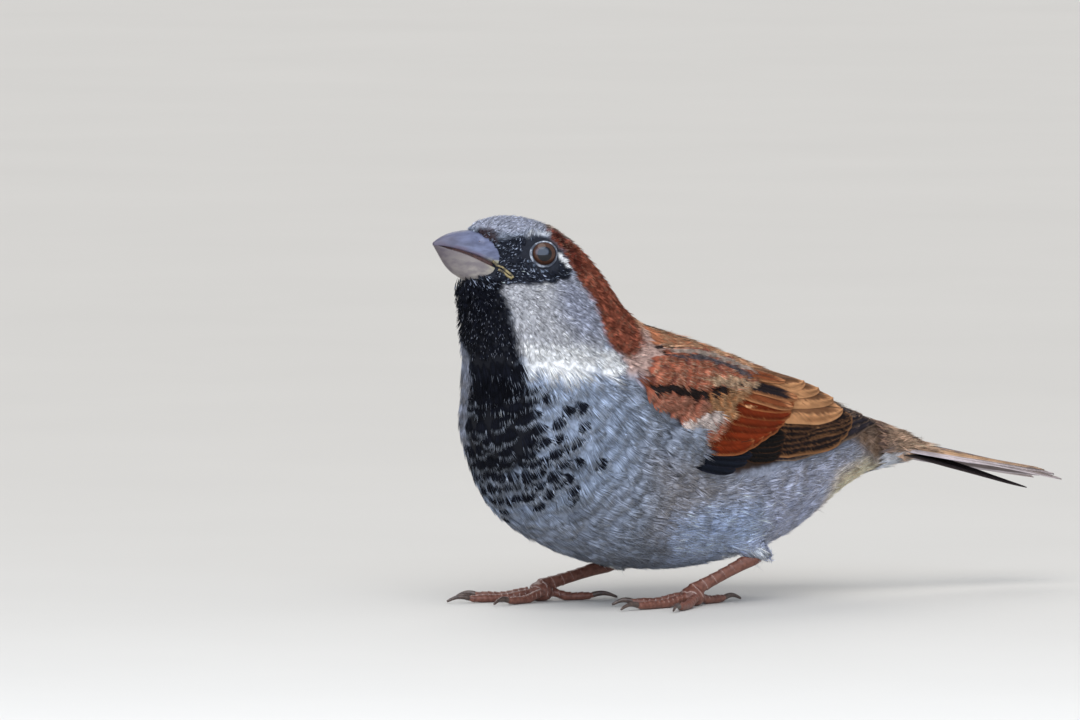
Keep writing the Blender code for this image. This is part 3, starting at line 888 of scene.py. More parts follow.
def uncovered(points):
    # True where no wing or tail feather lies over the skin
    keep = np.ones(len(points), bool)
    spots, normals = snapTo(skinSurface, points)
    for i, (p, n) in enumerate(zip(spots, normals)):
        for cover in (quillSurface, tailSurface):
            hit = cover.ray_cast(Vector(p) + Vector(n) * 0.3 * mm, Vector(n), 3 * mm)
            if hit[0] is not None:
                keep[i] = False
    places = placesOf(points)
    onWing = inOutline(points, vaneField) & (np.abs(places[:, 2]) > wingInner + 3)
    onWing |= (insideOf(places, wingFront, 1.0) > 0.95) & (np.abs(places[:, 2]) > wingInner)
    bare = outsideBill(points) < 0.12
    bare |= offEye(points) < lidRadius / mm + 0.25
    bare |= (places[:, 0] < 7) & (places[:, 1] > 66)
    bare |= places[:, 0] > 114
    return keep & ~onWing & ~bare


headLine = [(0, 53), (10, 52.5), (15, 52), (24, 51), (32, 48), (40, 52), (44, 60), (36, 84), (0, 84)]
snout = (13, 70, 0)       # where the feathers are shortest


def headShare(points):
    return insideOf(placesOf(points), headLine, 3.0)


def snoutShare(points, reach=20):
    return np.clip(np.linalg.norm(placesOf(points) - snout, axis=1) / reach, 0, 1)


def spacingOf(points):
    # mm between neighbouring feathers
    places = placesOf(points)
    head = headShare(points)
    small = 0.40 + 0.32 * snoutShare(points, 16)
    breast = smoothRise(-places[:, 0], -36, -24) * smoothRise(-places[:, 1], -50, -44)
    large = 1.28 + 0.32 * breast
    shin = smoothRise(-places[:, 1], -16, -12) * (np.abs(places[:, 2]) > 6)
    return (1 - head) * (large - 0.5 * shin) + head * small


# the breast below the bib: black feathers with silver ends, in rows round the throat
scallopField = [
    (2, 47), (14, 48), (20, 47), (27, 44), (32, 38), (34, 30), (32, 22), (24, 17), (14, 16), (2, 18),
]
scallopRows = {
    "middle": (10.0, 54.0), "stretch": (1.0, 0.92), "step": 2.45, "width": 0.27,
    "first": 0.55, "spacing": 2.15,       # between the first roots, and between those kept
}


def scallopShare(points):
    return insideOf(placesOf(points), scallopField, 2.0)


def rowPhase(points):
    # how far a place lies from the nearest row, in steps
    rel = (placesOf(points)[:, :2] - np.array(scallopRows["middle"])) * scallopRows["stretch"]
    steps = np.linalg.norm(rel, axis=1) / scallopRows["step"]
    return steps - np.round(steps)


def scallopPlaces():
    dense = scatterRoots(skin, lambda p: np.where(scallopShare(p) > 0.4, scallopRows["first"], 0), 7)
    dense = dense[(np.abs(rowPhase(dense)) < scallopRows["width"]) & (scallopShare(dense) >= 0.5)]
    kept = []
    for p in dense:
        if all((p - q) @ (p - q) > (scallopRows["spacing"] * mm) ** 2 for q in kept):
            kept.append(p)
    return np.array(kept)


roots = scatterRoots(skin, spacingOf, 5)
roots = roots[uncovered(roots) & (scallopShare(roots) < 0.5)]
scallopRoots = scallopPlaces()
print("feathers", len(roots), "scallops", len(scallopRoots))


# how the feathers over the wing's front are coloured: own tone and tip's
frontShades = {
    "low": ((0.31, 0.105, 0.065), (0.46, 0.21, 0.14)),
    "band": ((0.017, 0.012, 0.012), (0.030, 0.019, 0.017)),
    "tan": ((0.35, 0.15, 0.062), (0.50, 0.28, 0.145)),
    "white": ((0.56, 0.46, 0.42), (0.70, 0.60, 0.56)),
    "buff": ((0.44, 0.26, 0.155), (0.64, 0.45, 0.30)),
    "line": ((0.050, 0.044, 0.052), (0.16, 0.13, 0.14)),
    "pale": ((0.40, 0.30, 0.25), (0.50, 0.40, 0.34)),
}
frontBands = [
    ("low", [(36, 44.2), (44, 43.4), (51, 42.3), (53, 40.5), (49, 37), (46, 35), (40, 40), (36, 43)], 0.5),
    ("tan", [(50, 42.8), (55.5, 44.5), (61, 43.9), (63, 42.4), (59, 39), (54, 38.2), (50, 39.5)], 0.8),
    ("white", [(44, 38.2), (47, 38.6), (50.5, 40.0), (53.2, 40.2), (53.4, 38.2), (51, 36.4), (47, 35.4),
               (44, 36)], 0.5),
    ("buff", [(49.5, 46.0), (54.5, 46.9), (60, 46.3), (65, 44.6), (63, 43.4), (58, 44.2), (52, 44.9)], 1.0),
    ("band", [(37.5, 45.3), (42, 45.5), (46, 44.8), (49.8, 44.2), (50.4, 42.6), (47, 42.6), (42, 43.7),
              (37.5, 44.2)], 0.3),
    ("band", [(51.6, 44.6), (55.4, 44.7), (55.6, 43.2), (52, 42.9)], 0.3),
    ("line", [(45, 51.2), (52, 50.9), (57, 49.7), (61.5, 47.7), (66.5, 45.4), (65.5, 44.7), (60.5, 46.8),
              (55.8, 48.8), (51, 50.0), (45, 50.4)], 0.3),
    ("pale", [(45, 52.2), (52, 52.0), (58, 50.9), (63, 48.6), (69, 46), (66.5, 45.4), (61.5, 47.9),
              (57, 49.9), (52, 51.1), (45, 51.4)], 0.4),
]
# how much the blades of a group differ from each other
variety = {"head": 0.36, "scallop": 0.34, "front": 0.20, "body": 0.32, "rump": 0.32, "ankle": 0.32}
headDye = {
    "reds": (0.55, 1.0, 1.55), "redShares": (0.34, 0.40, 0.26), "tipped": 0.30, "tip": (0.26, 0.16, 0.11),
    "fleck": (0.36, 0.39, 0.48), "hair": (0.40, 0.46, 0.60), "hairs": 0.17,
    "frost": (0.17, 0.21, 0.29), "frosted": 0.45, "shaded": 0.12, "shade": 0.55, "flecked": (0.07, 0.17),
}
breastDye = {
    "scaled": 1.6, "inked": 0.93, "farOdds": 0.3, "silver": (0.36, 0.82), "edge": 0.95,
    "broken": 0.62, "barePatch": (9, 49.5), "bareSize": (5.0, 4.0),      # where no tip is silver
}
mantleDye = {"streaked": 0.66, "stripes": 15, "red": (0.46, 0.18, 0.09), "reds": 0.5, "bold": 0.5}
rumpDye = {
    "core": (0.10, 0.064, 0.054), "side": (0.28, 0.175, 0.125), "tan": (0.70, 0.47, 0.33),
    "topEdge": (0.60, 0.43, 0.31), "under": (0.60, 0.62, 0.68), "underEdge": (0.72, 0.74, 0.80),
}
ankleTone = (0.72, 0.77, 0.86)
frontDye = {
    "reds": [(0.46, 0.165, 0.10), (0.36, 0.105, 0.060), (0.19, 0.062, 0.042)], "redShares": (0.42, 0.82),
    "hairs": 0.22, "hair": (0.56, 0.38, 0.27), "edge": (0.43, 0.15, 0.085),
}


def dyed(colours, where, tone):
    # the colours, with the tone wherever the condition holds
    return np.where(where.reshape(where.shape + (1,) * (3 - where.ndim)), tone, colours)


def headTones(local, middle, tint, fringe):
    # chestnut in three shades, flecks in the bib, grey hairs in the mask, frost round the lids
    count, blades = middle.shape[:2]
    places = placesOf(middle).reshape(count, blades, 3)
    red = insideOf(places.reshape(-1, 3), outlines["chestnut"], 0.7).reshape(count, blades)
    shades = local.choice(headDye["reds"], (count, 1), p=headDye["redShares"])
    tint = dyed(tint, red > 0.4, tint * shades[..., None])
    tipped = local.random((count, 1)) < headDye["tipped"]
    fringe = dyed(fringe, tipped & (red > 0.4), tint * 0.4 + np.array(headDye["tip"]))
    dark = (local.random((count, blades)) < headDye["shaded"]) & (red < 0.3) & (tint[..., 1] > 0.1)
    tint = dyed(tint, dark, tint * headDye["shade"])
    black = (tint[..., 1] < 0.03) & (red < 0.3)
    inBib = black & (places[..., 1] < 64.5)
    least, more = headDye["flecked"]
    flecked = least + more * smoothRise(-places[..., 1], -61, -54)
    pale = (local.random((count, blades)) < flecked) & inBib
    glow = local.uniform(0.4, 1.3, (count, blades, 1))
    fringe = dyed(fringe, pale, np.array(headDye["fleck"]) * glow)
    ashy = (local.random((count, blades)) < headDye["hairs"]) & black & ~inBib
    tint = dyed(tint, ashy, np.array(headDye["hair"]) * glow)
    byLids = offEye(middle.reshape(-1, 3)).reshape(count, blades) < lidRadius / mm + 1.6
    byLids &= black & (places[..., 0] < 20.5) & (places[..., 1] < 72)
    frosty = byLids & (local.random((count, blades)) < headDye["frosted"])
    frost = np.array(headDye["frost"]) * local.uniform(0.5, 1.3, (count, blades, 1))
    return dyed(tint, frosty, frost), fringe


def breastTones(local, tufts, scalloped, tint, fringe, turnAt):
    # the bib runs out in black feathers with silver ends
    u, t, places = tufts["u"], tufts["t"], placesOf(tufts["root"])
    black, silver = np.array(tones["bib"]), np.array(tones["silver"])
    bib = insideOf(places, outlines["bib"], 1.5)
    near = insideOf(places, outlines["bib"], 13.0)
    low = smoothRise(-places[:, 1], -52, -44)
    loose = smoothRise(-places[:, 1], -47, -33)    # low on the bib the black breaks up
    nearSide = bibSide(places - [0, 2.5, 0])
    bib = bib * (1 - breastDye["broken"] * loose) * nearSide
    farOdds = breastDye["farOdds"]
    odds = np.clip(1.7 * near, 0, 1) * low * (farOdds + (1 - farOdds) * nearSide)
    scaled = local.random(len(u)) < (np.clip(odds * breastDye["scaled"], 0, 0.97) if scalloped else 0)
    onBib = (local.random(len(u)) < bib) & (~scaled | (loose < 0.3))
    border = 0.72 + 0.17 * near[:, None] - 0.16 * u ** 2 + local.normal(0, 0.025, u.shape)
    border = border + local.uniform(-0.06, 0.03, (len(u), 1))
    first, last = t[..., 0], t[..., 2]
    turnAt = np.where(scaled[:, None], np.clip((border - first) / (last - first), -0.3, 1.2), turnAt)
    tint = dyed(tint, scaled[:, None] & (local.random(u.shape) < breastDye["inked"]), black)
    fringe = dyed(fringe, scaled, silver * local.uniform(*breastDye["silver"], (len(u), 1, 1)))
    tint = dyed(tint, onBib, black)
    fromPatch = (places[:, :2] - breastDye["barePatch"]) / breastDye["bareSize"]
    smoothPatch = np.exp(-(fromPatch ** 2).sum(1))[:, None]
    edged = smoothRise(-places[:, 1], -46, -32)[:, None] * 0.75 + 0.25 * (1 - smoothPatch)
    silverTip = local.random(u.shape) < edged
    fringe = dyed(fringe, onBib, np.where(silverTip[..., None], silver * breastDye["edge"], black))
    return tint, fringe, turnAt


def mantleTones(local, tufts, tint, fringe):
    # dark streaks along the mantle, between buff and reddish feathers
    u, places = tufts["u"], placesOf(tufts["root"])
    mantle = insideOf(places, outlines["mantle"], 1.0) > 0.5
    angle = np.arctan2(places[:, 2], places[:, 1] - 26)
    stripe = np.sin(angle * mantleDye["stripes"] + 0.7 * np.sin(places[:, 0] * 0.35)) > 0.15
    streaked = mantle & stripe & (local.random(len(u)) < mantleDye["streaked"])
    core = (u > -0.45) & (u < 0.55)
    reddish = mantle & ~streaked & (local.random(len(u)) < mantleDye["reds"])
    tint = dyed(tint, reddish, np.array(mantleDye["red"]))
    tint = dyed(tint, streaked[:, None] & core, np.array(tones["streak"]))
    fringe = dyed(fringe, mantle, np.array(tones["buff"]) * 1.4)
    bold = streaked & (local.random(len(u)) < mantleDye["bold"])
    return tint, dyed(fringe, bold[:, None] & core, np.array(tones["streak"]) * 1.6)


def rumpTones(tufts):
    # brown-grey above with dark centres, tan towards the tail, white below
    places = placesOf(tufts["root"])
    dye = {key: np.array(tone) for key, tone in rumpDye.items()}
    edge = 27.2 - 0.22 * (places[:, 0] - 100)
    above = smoothRise(places[:, 1] - edge, -2.0, 1.0)[:, None, None]
    tan = smoothRise(places[:, 0], 97.5, 103)[:, None, None]
    upper = np.where((np.abs(tufts["u"]) < 0.35)[..., None], dye["core"], dye["side"])
    upper = upper + tan * (dye["tan"] - upper) * 0.9
    tint = dye["under"] + above * (upper - dye["under"])
    fringe = dye["underEdge"] + above * (dye["topEdge"] - dye["underEdge"])
    return tint, np.broadcast_to(fringe, tint.shape)


def wingFrontTones(local, middle, tint):
    # red feathers in three shades, with the bands laid over them
    count, blades = middle.shape[:2]
    places = placesOf(middle).reshape(count, blades, 3)
    shade = np.digitize(local.random(count), frontDye["redShares"])
    tint[:] = np.array(frontDye["reds"])[shade][:, None]
    hairs = local.random((count, blades, 1))
    fringe = np.where(hairs < frontDye["hairs"], frontDye["hair"], frontDye["edge"])
    for name, outline, soft in frontBands:
        shifts = local.normal(0, 0.25, (count, 1, 3)) + local.normal(0, 0.12, places.shape)
        share = insideOf((places + shifts).reshape(-1, 3), outline, soft).reshape(count, blades)
        hit = local.uniform(0.35, 0.65, (count, blades)) < share
        tint = dyed(tint, hit, frontShades[name][0])
        fringe = dyed(fringe, hit, frontShades[name][1])
    return tint, fringe


def bladeTones(tufts, group):
    # each blade's own colour, that of its tip, and how far along it they meet
    local = np.random.default_rng(len(tufts["root"]))
    middle = tufts["points"][:, :, 2]
    count, blades = middle.shape[:2]
    tint = paint(middle).reshape(count, blades, 3)
    # the tips are paler than the blades; on the body they are also warmer and more neutral, partly painted
    # highlight
    fringe = tint * (1.22 if group in ("head", "front") else np.array([1.25, 1.18, 1.07]))
    whole = local.normal(1, 0.11, (count, 1, 1))
    single = np.clip(local.normal(1, variety[group], (count, blades, 1)), 0.3, 1.9)
    turnAt = np.full((count, blades), 0.70)
    if group == "head":
        tint, fringe = headTones(local, middle, tint, fringe)
    if group in ("body", "scallop"):
        tint, fringe, turnAt = breastTones(local, tufts, group == "scallop", tint, fringe, turnAt)
        tint, fringe = mantleTones(local, tufts, tint, fringe)
    if group == "ankle":
        tint[:] = ankleTone
        fringe = tint * 1.15
    if group == "rump":
        tint, fringe = rumpTones(tufts)
    if group == "front":
        tint, fringe = wingFrontTones(local, middle, tint)
        turnAt = turnAt - 0.12
    tint = np.clip(tint * whole * single, 0.002, 1)
    fringe = np.clip(fringe * whole * single, 0.002, 1)
    return tint, fringe, turnAt


def growGroup(name, chosen, size, group, seed, pieces=1):
    # a settings entry may be a function of the roots; the coat is cut into pieces along the body
    order = np.argsort(bodyMap(chosen)[:, 0], kind="stable")
    for k, part in enumerate(np.array_split(order, pieces)):
        own = chosen[part]
        own = own[np.random.default_rng(seed + k).permutation(len(own))]
        settings = {key: (value(own) if callable(value) and key not in ("flow", "keep") else value)
                    for key, value in size.items()}
        tufts = growTufts(own, settings, seed + k)
        if "keep" in size:
            keep = size["keep"](tufts)
            tufts = {key: value[keep] for key, value in tufts.items()}
        tint, fringe, turnAt = bladeTones(tufts, group)
        coatPiece(f"{name}_{k + 1}" if pieces > 1 else name, tufts, tint, fringe, turnAt, plume)


def crownShare(points):
    # the back of the crown and the nape stand a little higher
    places = placesOf(points)
    return smoothRise(places[:, 1], 60, 74) * smoothRise(places[:, 0], 15, 26)


def chinShare(points):
    places = placesOf(points)
    level = smoothRise(places[:, 1], 54, 61) * smoothRise(-places[:, 1], -67, -64)
    return smoothRise(-places[:, 0], -12, -8) * level


def chinDepth(points):
    # where the loose layers stand out, to fill the corner under the bill
    places = placesOf(points)
    middle = smoothRise(-np.abs(places[:, 2]), -5.0, -2.2)
    level = smoothRise(places[:, 1], 58.5, 64.5) * smoothRise(-places[:, 1], -68.5, -66.5)
    return level * smoothRise(-places[:, 0], -12.5, -8) * middle


headSize = {
    "blades": 13, "turn": 0.12, "stray": 0.09,
    "length": lambda p: 1.3 + 1.7 * snoutShare(p), "spread": lambda p: 0.38 + 0.36 * snoutShare(p),
    "width": lambda p: 0.11 + 0.06 * snoutShare(p),
    "lift": lambda p: 0.30 + 0.32 * snoutShare(p) + 0.15 * crownShare(p) + 0.8 * chinShare(p),
}
bodySize = {
    "blades": 32, "length": 6.8, "spread": 1.6, "width": 0.17, "lift": 0.62, "round": 0.26, "turn": 0.12,
    "fan": 0.55, "ragged": 0.12, "stray": 0.09,
}
scallopSize = {
    "blades": 52, "length": 5.8, "spread": 2.1, "width": 0.15, "lift": 0.60, "round": 0.22, "turn": 0.10,
    "fan": 0.6, "stray": 0.06, "ragged": 0.07,
}
chinSize = dict(headSize, length=2.7, spread=0.60, width=0.15, blades=15, stray=0.10,
                lift=lambda p: 0.2 + 0.3 * chinDepth(p))
chinLayers, chinStep = 3, 0.42
# short feathers that point at the bill and lie over its base
loreSize = {
    "blades": 9, "spread": 0.35, "width": 0.11, "flow": forwardLie,
    "length": lambda p: 1.3 + 1.0 * smoothRise(placesOf(p)[:, 1], 73, 76),
    "lift": lambda p: 0.45 + 0.35 * smoothRise(placesOf(p)[:, 1], 74, 76.5),
}
gapeSpot = (13, 68, 0)


def growCoat():
    growGroup("head_coat", roots[onHead], headSize, "head", 100, 2)
    growGroup("body_coat", roots[~onHead], bodySize, "body", 200, 5)
    growGroup("breast_coat", scallopRoots, scallopSize, "scallop", 250, 2)
    chinRoots = roots[onHead & (chinDepth(roots) > 0.10)]
    for layer in range(chinLayers):
        layerSize = dict(chinSize, base=lambda p: -0.1 + chinStep * (layer + 1) * chinDepth(p))
        growGroup(f"chin_layer_{layer + 1}", chinRoots, layerSize, "head", 320 + layer)
    gapeGap = np.linalg.norm((placesOf(roots) - gapeSpot) * [1, 1, 0], axis=1)
    byBill = (outsideBill(roots) < 1.4) & (gapeGap > 2.2) & (placesOf(roots)[:, 1] > 69.5)
    growGroup("lore_bristles", roots[onHead & byBill], loreSize, "head", 300)


onHead = headShare(roots) > 0.5
growCoat()

# the edge of the flank over the wing's front
flankEdge = [(39.5, 37.2), (43, 38.2), (46, 35.6), (45.5, 32.5), (43, 29), (40, 29.5), (38.5, 32)]
ankleSurface = nodeSurface(shanks)
backSurface = nodeSurface(["trunk", "tail"])
rumpRange = (97, 111)


def rumpSurface():
    # the tail's root and the trunk as one even surface
    piece = copyOf(["tail", "trunk"], "rumpForm")
    blendShape(piece, skinSize["grow"], skinSize["voxel"], 12)
    surface = surfaceOf(piece)
    bpy.data.objects.remove(piece)
    return surface


def patchSpacing(outline, gap):
    # one spacing inside an outline, on both sides of the body
    def spacing(points):
        onSide = np.abs(placesOf(points)[:, 2]) > wingInner
        return np.where(inOutline(points, outline) & onSide, gap, 0)
    return spacing


def ankleSpacing(points):
    return np.where((distancesTo(ankleSurface, points) < 3.4) & (placesOf(points)[:, 1] < 18), 0.75, 0)


def rumpSpacing(points):
    back = placesOf(points)[:, 0]
    return np.where((back > rumpRange[0]) & (back < rumpRange[1]), 1.35, 0)


def findBackLine():
    # the upper outline of the rump and the tail in side view
    line = []
    for back in np.arange(90, 142, 1.0):
        hit = backSurface.ray_cast(spot(back, 90), Vector((0, 0, -1)))
        if hit[0] is not None:
            line.append((hit[0].x, hit[0].z))
    return np.array(line)


def underBackLine(tufts):
    # True for the tufts whose tips stay under the line of the back and the tail
    tips = tufts["points"][:, :, 4]
    limit = np.interp(tips[..., 0], backLine[:, 0], backLine[:, 1]) + 0.45 * mm
    return (tips[..., 2] < limit).mean(1) > 0.97


backLine = findBackLine()
flankSize = dict(bodySize, length=5.6, base=0.25, lift=0.75, surface=formSurface)
ankleSize = dict(bodySize, blades=20, length=5.0, spread=0.8, width=0.14, lift=0.9, ragged=0.2,
                 flow=hangingLie)
rumpSize = dict(bodySize, blades=26, length=7.5, spread=1.3, base=-0.3, lift=0.38, stray=0.05, ragged=0.08,
                surface=rumpSurface(), keep=underBackLine)
frontSize = {
    "blades": 34, "length": 4.2, "spread": 1.5, "width": 0.17, "lift": 0.75, "base": 0.05, "round": 0.3,
    "turn": 0.14, "fan": 0.5, "ragged": 0.08, "surface": formSurface,
}
# name, the surface it is scattered over, spacing, seed, size, group, slot, seed of the blades, pieces
extraCoats = [
    ("flank_edge", form, patchSpacing(flankEdge, 1.0), 12, flankSize, "body", "body_plumage", 420, 1),
    ("ankle_tufts", skin, ankleSpacing, 13, ankleSize, "ankle", "body_plumage", 430, 1),
    ("tail_coverts", skin, rumpSpacing, 14, rumpSize, "rump", "body_plumage", 440, 1),
    ("wing_front", form, patchSpacing(wingFront, 0.95), 6, frontSize, "front", "wing_plumage", 400, 2),
]
for name, base, spacing, rootSeed, size, group, slot, seed, pieces in extraCoats:
    growGroup(name, scatterRoots(base, spacing, rootSeed), size, group, seed, pieces)
print("coat grown")


# the long feathers are thin vanes with a shaft, edges and barbs
vaneGrid = {
    "along": 15, "across": (-1, -0.86, -0.6, -0.25, 0, 0.25, 0.6, 0.86, 1), "thick": 0.11, "camber": 0.12,
}


def vaneOutline(t, tipLength, tipPower):
    # half width along a feather: narrow at the quill, full, then rounded off
    base = 0.25 + 0.75 * smoothRise(t, 0.0, 0.35)
    tip = np.clip((1 - t) / tipLength, 0, 1)
    return base * (1 - (1 - tip) ** tipPower) ** (1 / tipPower)


def vaneRows():
    # closer together towards the tip
    return 1 - (1 - np.linspace(0, 1, vaneGrid["along"])) ** 1.25


def vaneHalf(t, look):
    return look["width"] / 2 * vaneOutline(t, look["tip"], look.get("power", 2.0))


def layVane(root, tip, look, outward, surface):
    # a feather from root to tip over a surface; outward is the side whose edge lies on top
    cols = np.array(vaneGrid["across"])
    t = vaneRows()
    half = np.maximum(vaneHalf(t, look), 0.05)
    line = np.array(root)[None] * (1 - t)[:, None] + np.array(tip)[None] * t[:, None]
    line, up = snapTo(surface, line)
    for _ in range(3):   # eases small kinks out of the line
        up[1:-1] = (up[:-2] + up[1:-1] + up[2:]) / 3
    up = unitRows(up)
    run = unitRows(np.gradient(line, axis=0))
    across = unitRows(np.cross(run, up)) * outward
    bow = look.get("bow", 0.0) * 4 * t * (1 - t)
    lift = look["low"] + (look["lift"] - look["low"]) * t
    points = np.zeros((len(t), len(cols), 3))
    for j, v in enumerate(cols):
        flat, upHere = snapTo(surface, line + across * ((v * half + bow) * mm)[:, None])
        upHere = unitRows(upHere + up)
        height = lift + look["roll"] * v - vaneGrid["camber"] * v * v
        points[:, j] = flat + upHere * (height * mm)[:, None]
    grid = np.stack(np.meshgrid(t, cols, indexing="ij"), -1)
    size = np.linalg.norm(np.array(tip) - np.array(root)) / mm
    barb = size * t[:, None] + 1.1 * np.abs(cols)[None] * half[:, None] * 2
    return points, grid, barb


def vanePiece(name, vanes, material, replaced=()):
    # vanes: (points, grid, barb, look, side) for each feather
    rows, cols = vaneGrid["along"], len(vaneGrid["across"])
    each = rows * cols
    cell = np.array([[i * cols + j, i * cols + j + 1, (i + 1) * cols + j + 1, (i + 1) * cols + j]
                     for i in range(rows - 1) for j in range(cols - 1)])
    points = np.concatenate([v[0].reshape(-1, 3) for v in vanes])
    quads = np.concatenate([cell[:, ::v[4]] + each * k for k, v in enumerate(vanes)])
    mesh = bpy.data.meshes.new(name)
    mesh.from_pydata(points.tolist(), [], quads.tolist())
    piece = addPiece(name, mesh)
    grids = np.concatenate([v[1].reshape(-1, 2) for v in vanes])
    setMap(mesh, "vane", grids)
    setValues(mesh, "barb", "FLOAT", np.concatenate([v[2].ravel() for v in vanes]))
    for key in ("outer", "inner", "end"):
        setValues(mesh, key, "FLOAT", np.repeat([v[3][key] for v in vanes], each))
    for key in ("centre", "edge"):
        setValues(mesh, key, "FLOAT_COLOR", np.repeat([v[3][key] for v in vanes], each, axis=0))
    homes = np.repeat((np.arange(len(vanes)) + 0.5) / len(vanes), each)
    strips = np.stack([homes + grids[:, 1] * 0.42 / len(vanes), 0.02 + 0.96 * grids[:, 0]], 1)
    setMap(mesh, "OFBake", strips)
    shell = piece.modifiers.new("shell", "SOLIDIFY")
    shell.thickness, shell.offset = vaneGrid["thick"] * mm, -1
    applyModifiers(piece)
    finishPiece(piece, material, replaced)
    print(name, "feathers", len(vanes))


barbLook = {
    "closeness": 5.5, "fewest": 24, "most": 150,
    "width": 0.20, "slant": 1.15, "over": 0.10, "height": 0.055,
}
barbUv = [[0.0, -0.9], [-0.3, 0], [0.0, 0.1], [0.3, 0], [0.0, 0.9]]


def between(field, rows, t, v):
    # the value of a vane's grid at the places t along it and v across it
    cols = np.array(vaneGrid["across"])
    i = np.clip(np.interp(t, rows, np.arange(len(rows))), 0, len(rows) - 1.001)
    j = np.clip(np.interp(v, cols, np.arange(len(cols))), 0, len(cols) - 1.001)
    a, b = i.astype(int), j.astype(int)
    f, g = (i - a)[:, None], (j - b)[:, None]
    return ((field[a, b] * (1 - f) + field[a + 1, b] * f) * (1 - g)
            + (field[a, b + 1] * (1 - f) + field[a + 1, b + 1] * f) * g)


def growBarbs(vanes, seed):
    # fine closed blades from each shaft to just past the vane's edge
    local = np.random.default_rng(seed)
    found = {"points": [], "along": [], "root": [], "uv": [], "tint": [], "fringe": [], "turnAt": []}
    for points, grid, _, look, turned in vanes:
        rows = grid[:, 0, 0]
        length = np.linalg.norm(points[-1, 4] - points[0, 4]) / mm
        runs = np.gradient(points, axis=0)
        wides = np.gradient(points, axis=1)
        ups = unitRows(np.cross(runs, wides)) * -turned
        for edgeSide, share in ((1, look["outer"]), (-1, look["inner"])):
            count = int(np.clip(length * barbLook["closeness"], barbLook["fewest"], barbLook["most"]))
            t = np.linspace(0.02, 0.985, count) + local.uniform(-0.4, 0.4, count) / count
            half = vaneHalf(t, look)
            ahead = np.minimum(t + barbLook["slant"] * half / length, 0.995)
            reach = 0.93 + local.uniform(-0.05, 0.06, count)
            root = between(points, rows, t, np.full(count, 0.04 * edgeSide))
            middle = between(points, rows, (t + ahead) / 2, 0.52 * edgeSide * reach)
            tip = between(points, rows, ahead, edgeSide * reach)
            tip = tip + (tip - middle) * barbLook["over"]
            upAt = between(ups, rows, (t + ahead) / 2, 0.5 * edgeSide * reach)
            sideways = unitRows(np.cross(unitRows(tip - root), upAt)) * (barbLook["width"] / 2 * mm)
            rise = upAt * (barbLook["height"] * mm)
            middle = middle + rise
            found["points"].append(np.stack([
                root + rise * 0.5, middle + sideways, middle + rise * 0.7, middle - sideways,
                tip + rise * 0.6], 1))
            found["along"].append(np.tile([0.0, 0.5, 0.5, 0.5, 1.0], (count, 1)))
            found["root"].append(root)
            found["uv"].append(np.tile(barbUv, (count, 1, 1)))
            centre, edge = np.array(look["centre"]), np.array(look["edge"])
            endAt = 1 - look["end"]
            atEnd = smoothRise(t + local.normal(0, 0.02, count), endAt - 0.06, endAt + 0.04)[:, None]
            tone = local.normal(1, 0.12, (count, 1))
            found["tint"].append((centre + (edge - centre) * atEnd) * tone)
            found["fringe"].append(np.tile(edge, (count, 1)) * tone)
            plain = 0.3 if share < 0.03 else 0       # a vane without a pale edge
            found["turnAt"].append(0.93 - share + local.normal(0, 0.05, count) + plain)
    tufts = {key: np.concatenate(value) for key, value in found.items()}
    for key in ("points", "along", "uv"):
        tufts[key] = tufts[key][:, None]
    return tufts


def barbPiece(name, vanes, seed):
    tufts = growBarbs(vanes, seed)
    tint, fringe = np.clip(tufts["tint"], 0.002, 1), np.clip(tufts["fringe"], 0.002, 1)
    coatPiece(name, tufts, tint, fringe, tufts["turnAt"], plume)


def vaneMaterial():
    material, tree, shader = newMaterial("vaneFeather", 0.6, 0.06)
    place = addNode(tree, "ShaderNodeUVMap", uv_map="vane").outputs[0]
    parts = addNode(tree, "ShaderNodeSeparateXYZ", {0: place})
    t, v = parts.outputs[0], parts.outputs[1]
    grain = addNode(tree, "ShaderNodeCombineXYZ", {
        0: mathNode(tree, "MULTIPLY", readValue(tree, "barb"), 3.0), 1: mathNode(tree, "MULTIPLY", v, 0.8)})
    speck = noiseNode(tree, 1.6, 3.0, grain.outputs[0])
    jitter = mathNode(tree, "MULTIPLY_ADD", speck, 0.30, -0.15)

    def border(value, width):
        start = mathNode(tree, "SUBTRACT", 1.0, width)
        shifted = mathNode(tree, "ADD", value, jitter)
        gap = mathNode(tree, "SUBTRACT", shifted, start)
        return riseNode(tree, gap, -0.10, 0.12)

    outer = border(v, readValue(tree, "outer"))
    inner = border(mathNode(tree, "MULTIPLY", v, -1.0), readValue(tree, "inner"))
    end = border(t, readValue(tree, "end"))
    edge = mathNode(tree, "MAXIMUM", mathNode(tree, "MAXIMUM", outer, inner), end)
    colour = mixNode(tree, edge, readValue(tree, "centre", "Color"), readValue(tree, "edge", "Color"))
    barb = mathNode(tree, "MULTIPLY", readValue(tree, "barb"), 26.0)
    ripple = mathNode(tree, "MULTIPLY_ADD", mathNode(tree, "SINE", barb), 0.5, 0.5)
    rippleMix = mixNode(tree, ripple, (0.80, 0.80, 0.80), (1.1, 1.1, 1.1))
    colour = mixNode(tree, 0.8, colour, rippleMix, "MULTIPLY")
    colour = unevenTone(tree, colour, 260.0, 3.0, 0.82, 1.12)
    shaft = riseNode(tree, mathNode(tree, "ABSOLUTE", v), 0.07, 0.03)
    colour = mixNode(tree, mathNode(tree, "MULTIPLY", shaft, 0.7), colour, (0.02, 0.012, 0.008))
    colourOn(tree, shader, colour)
    height = mathNode(tree, "MULTIPLY_ADD", shaft, 1.5, ripple)
    bumpOn(tree, shader, height, 0.35, 0.00004)
    return material


vaneFinish = vaneMaterial()

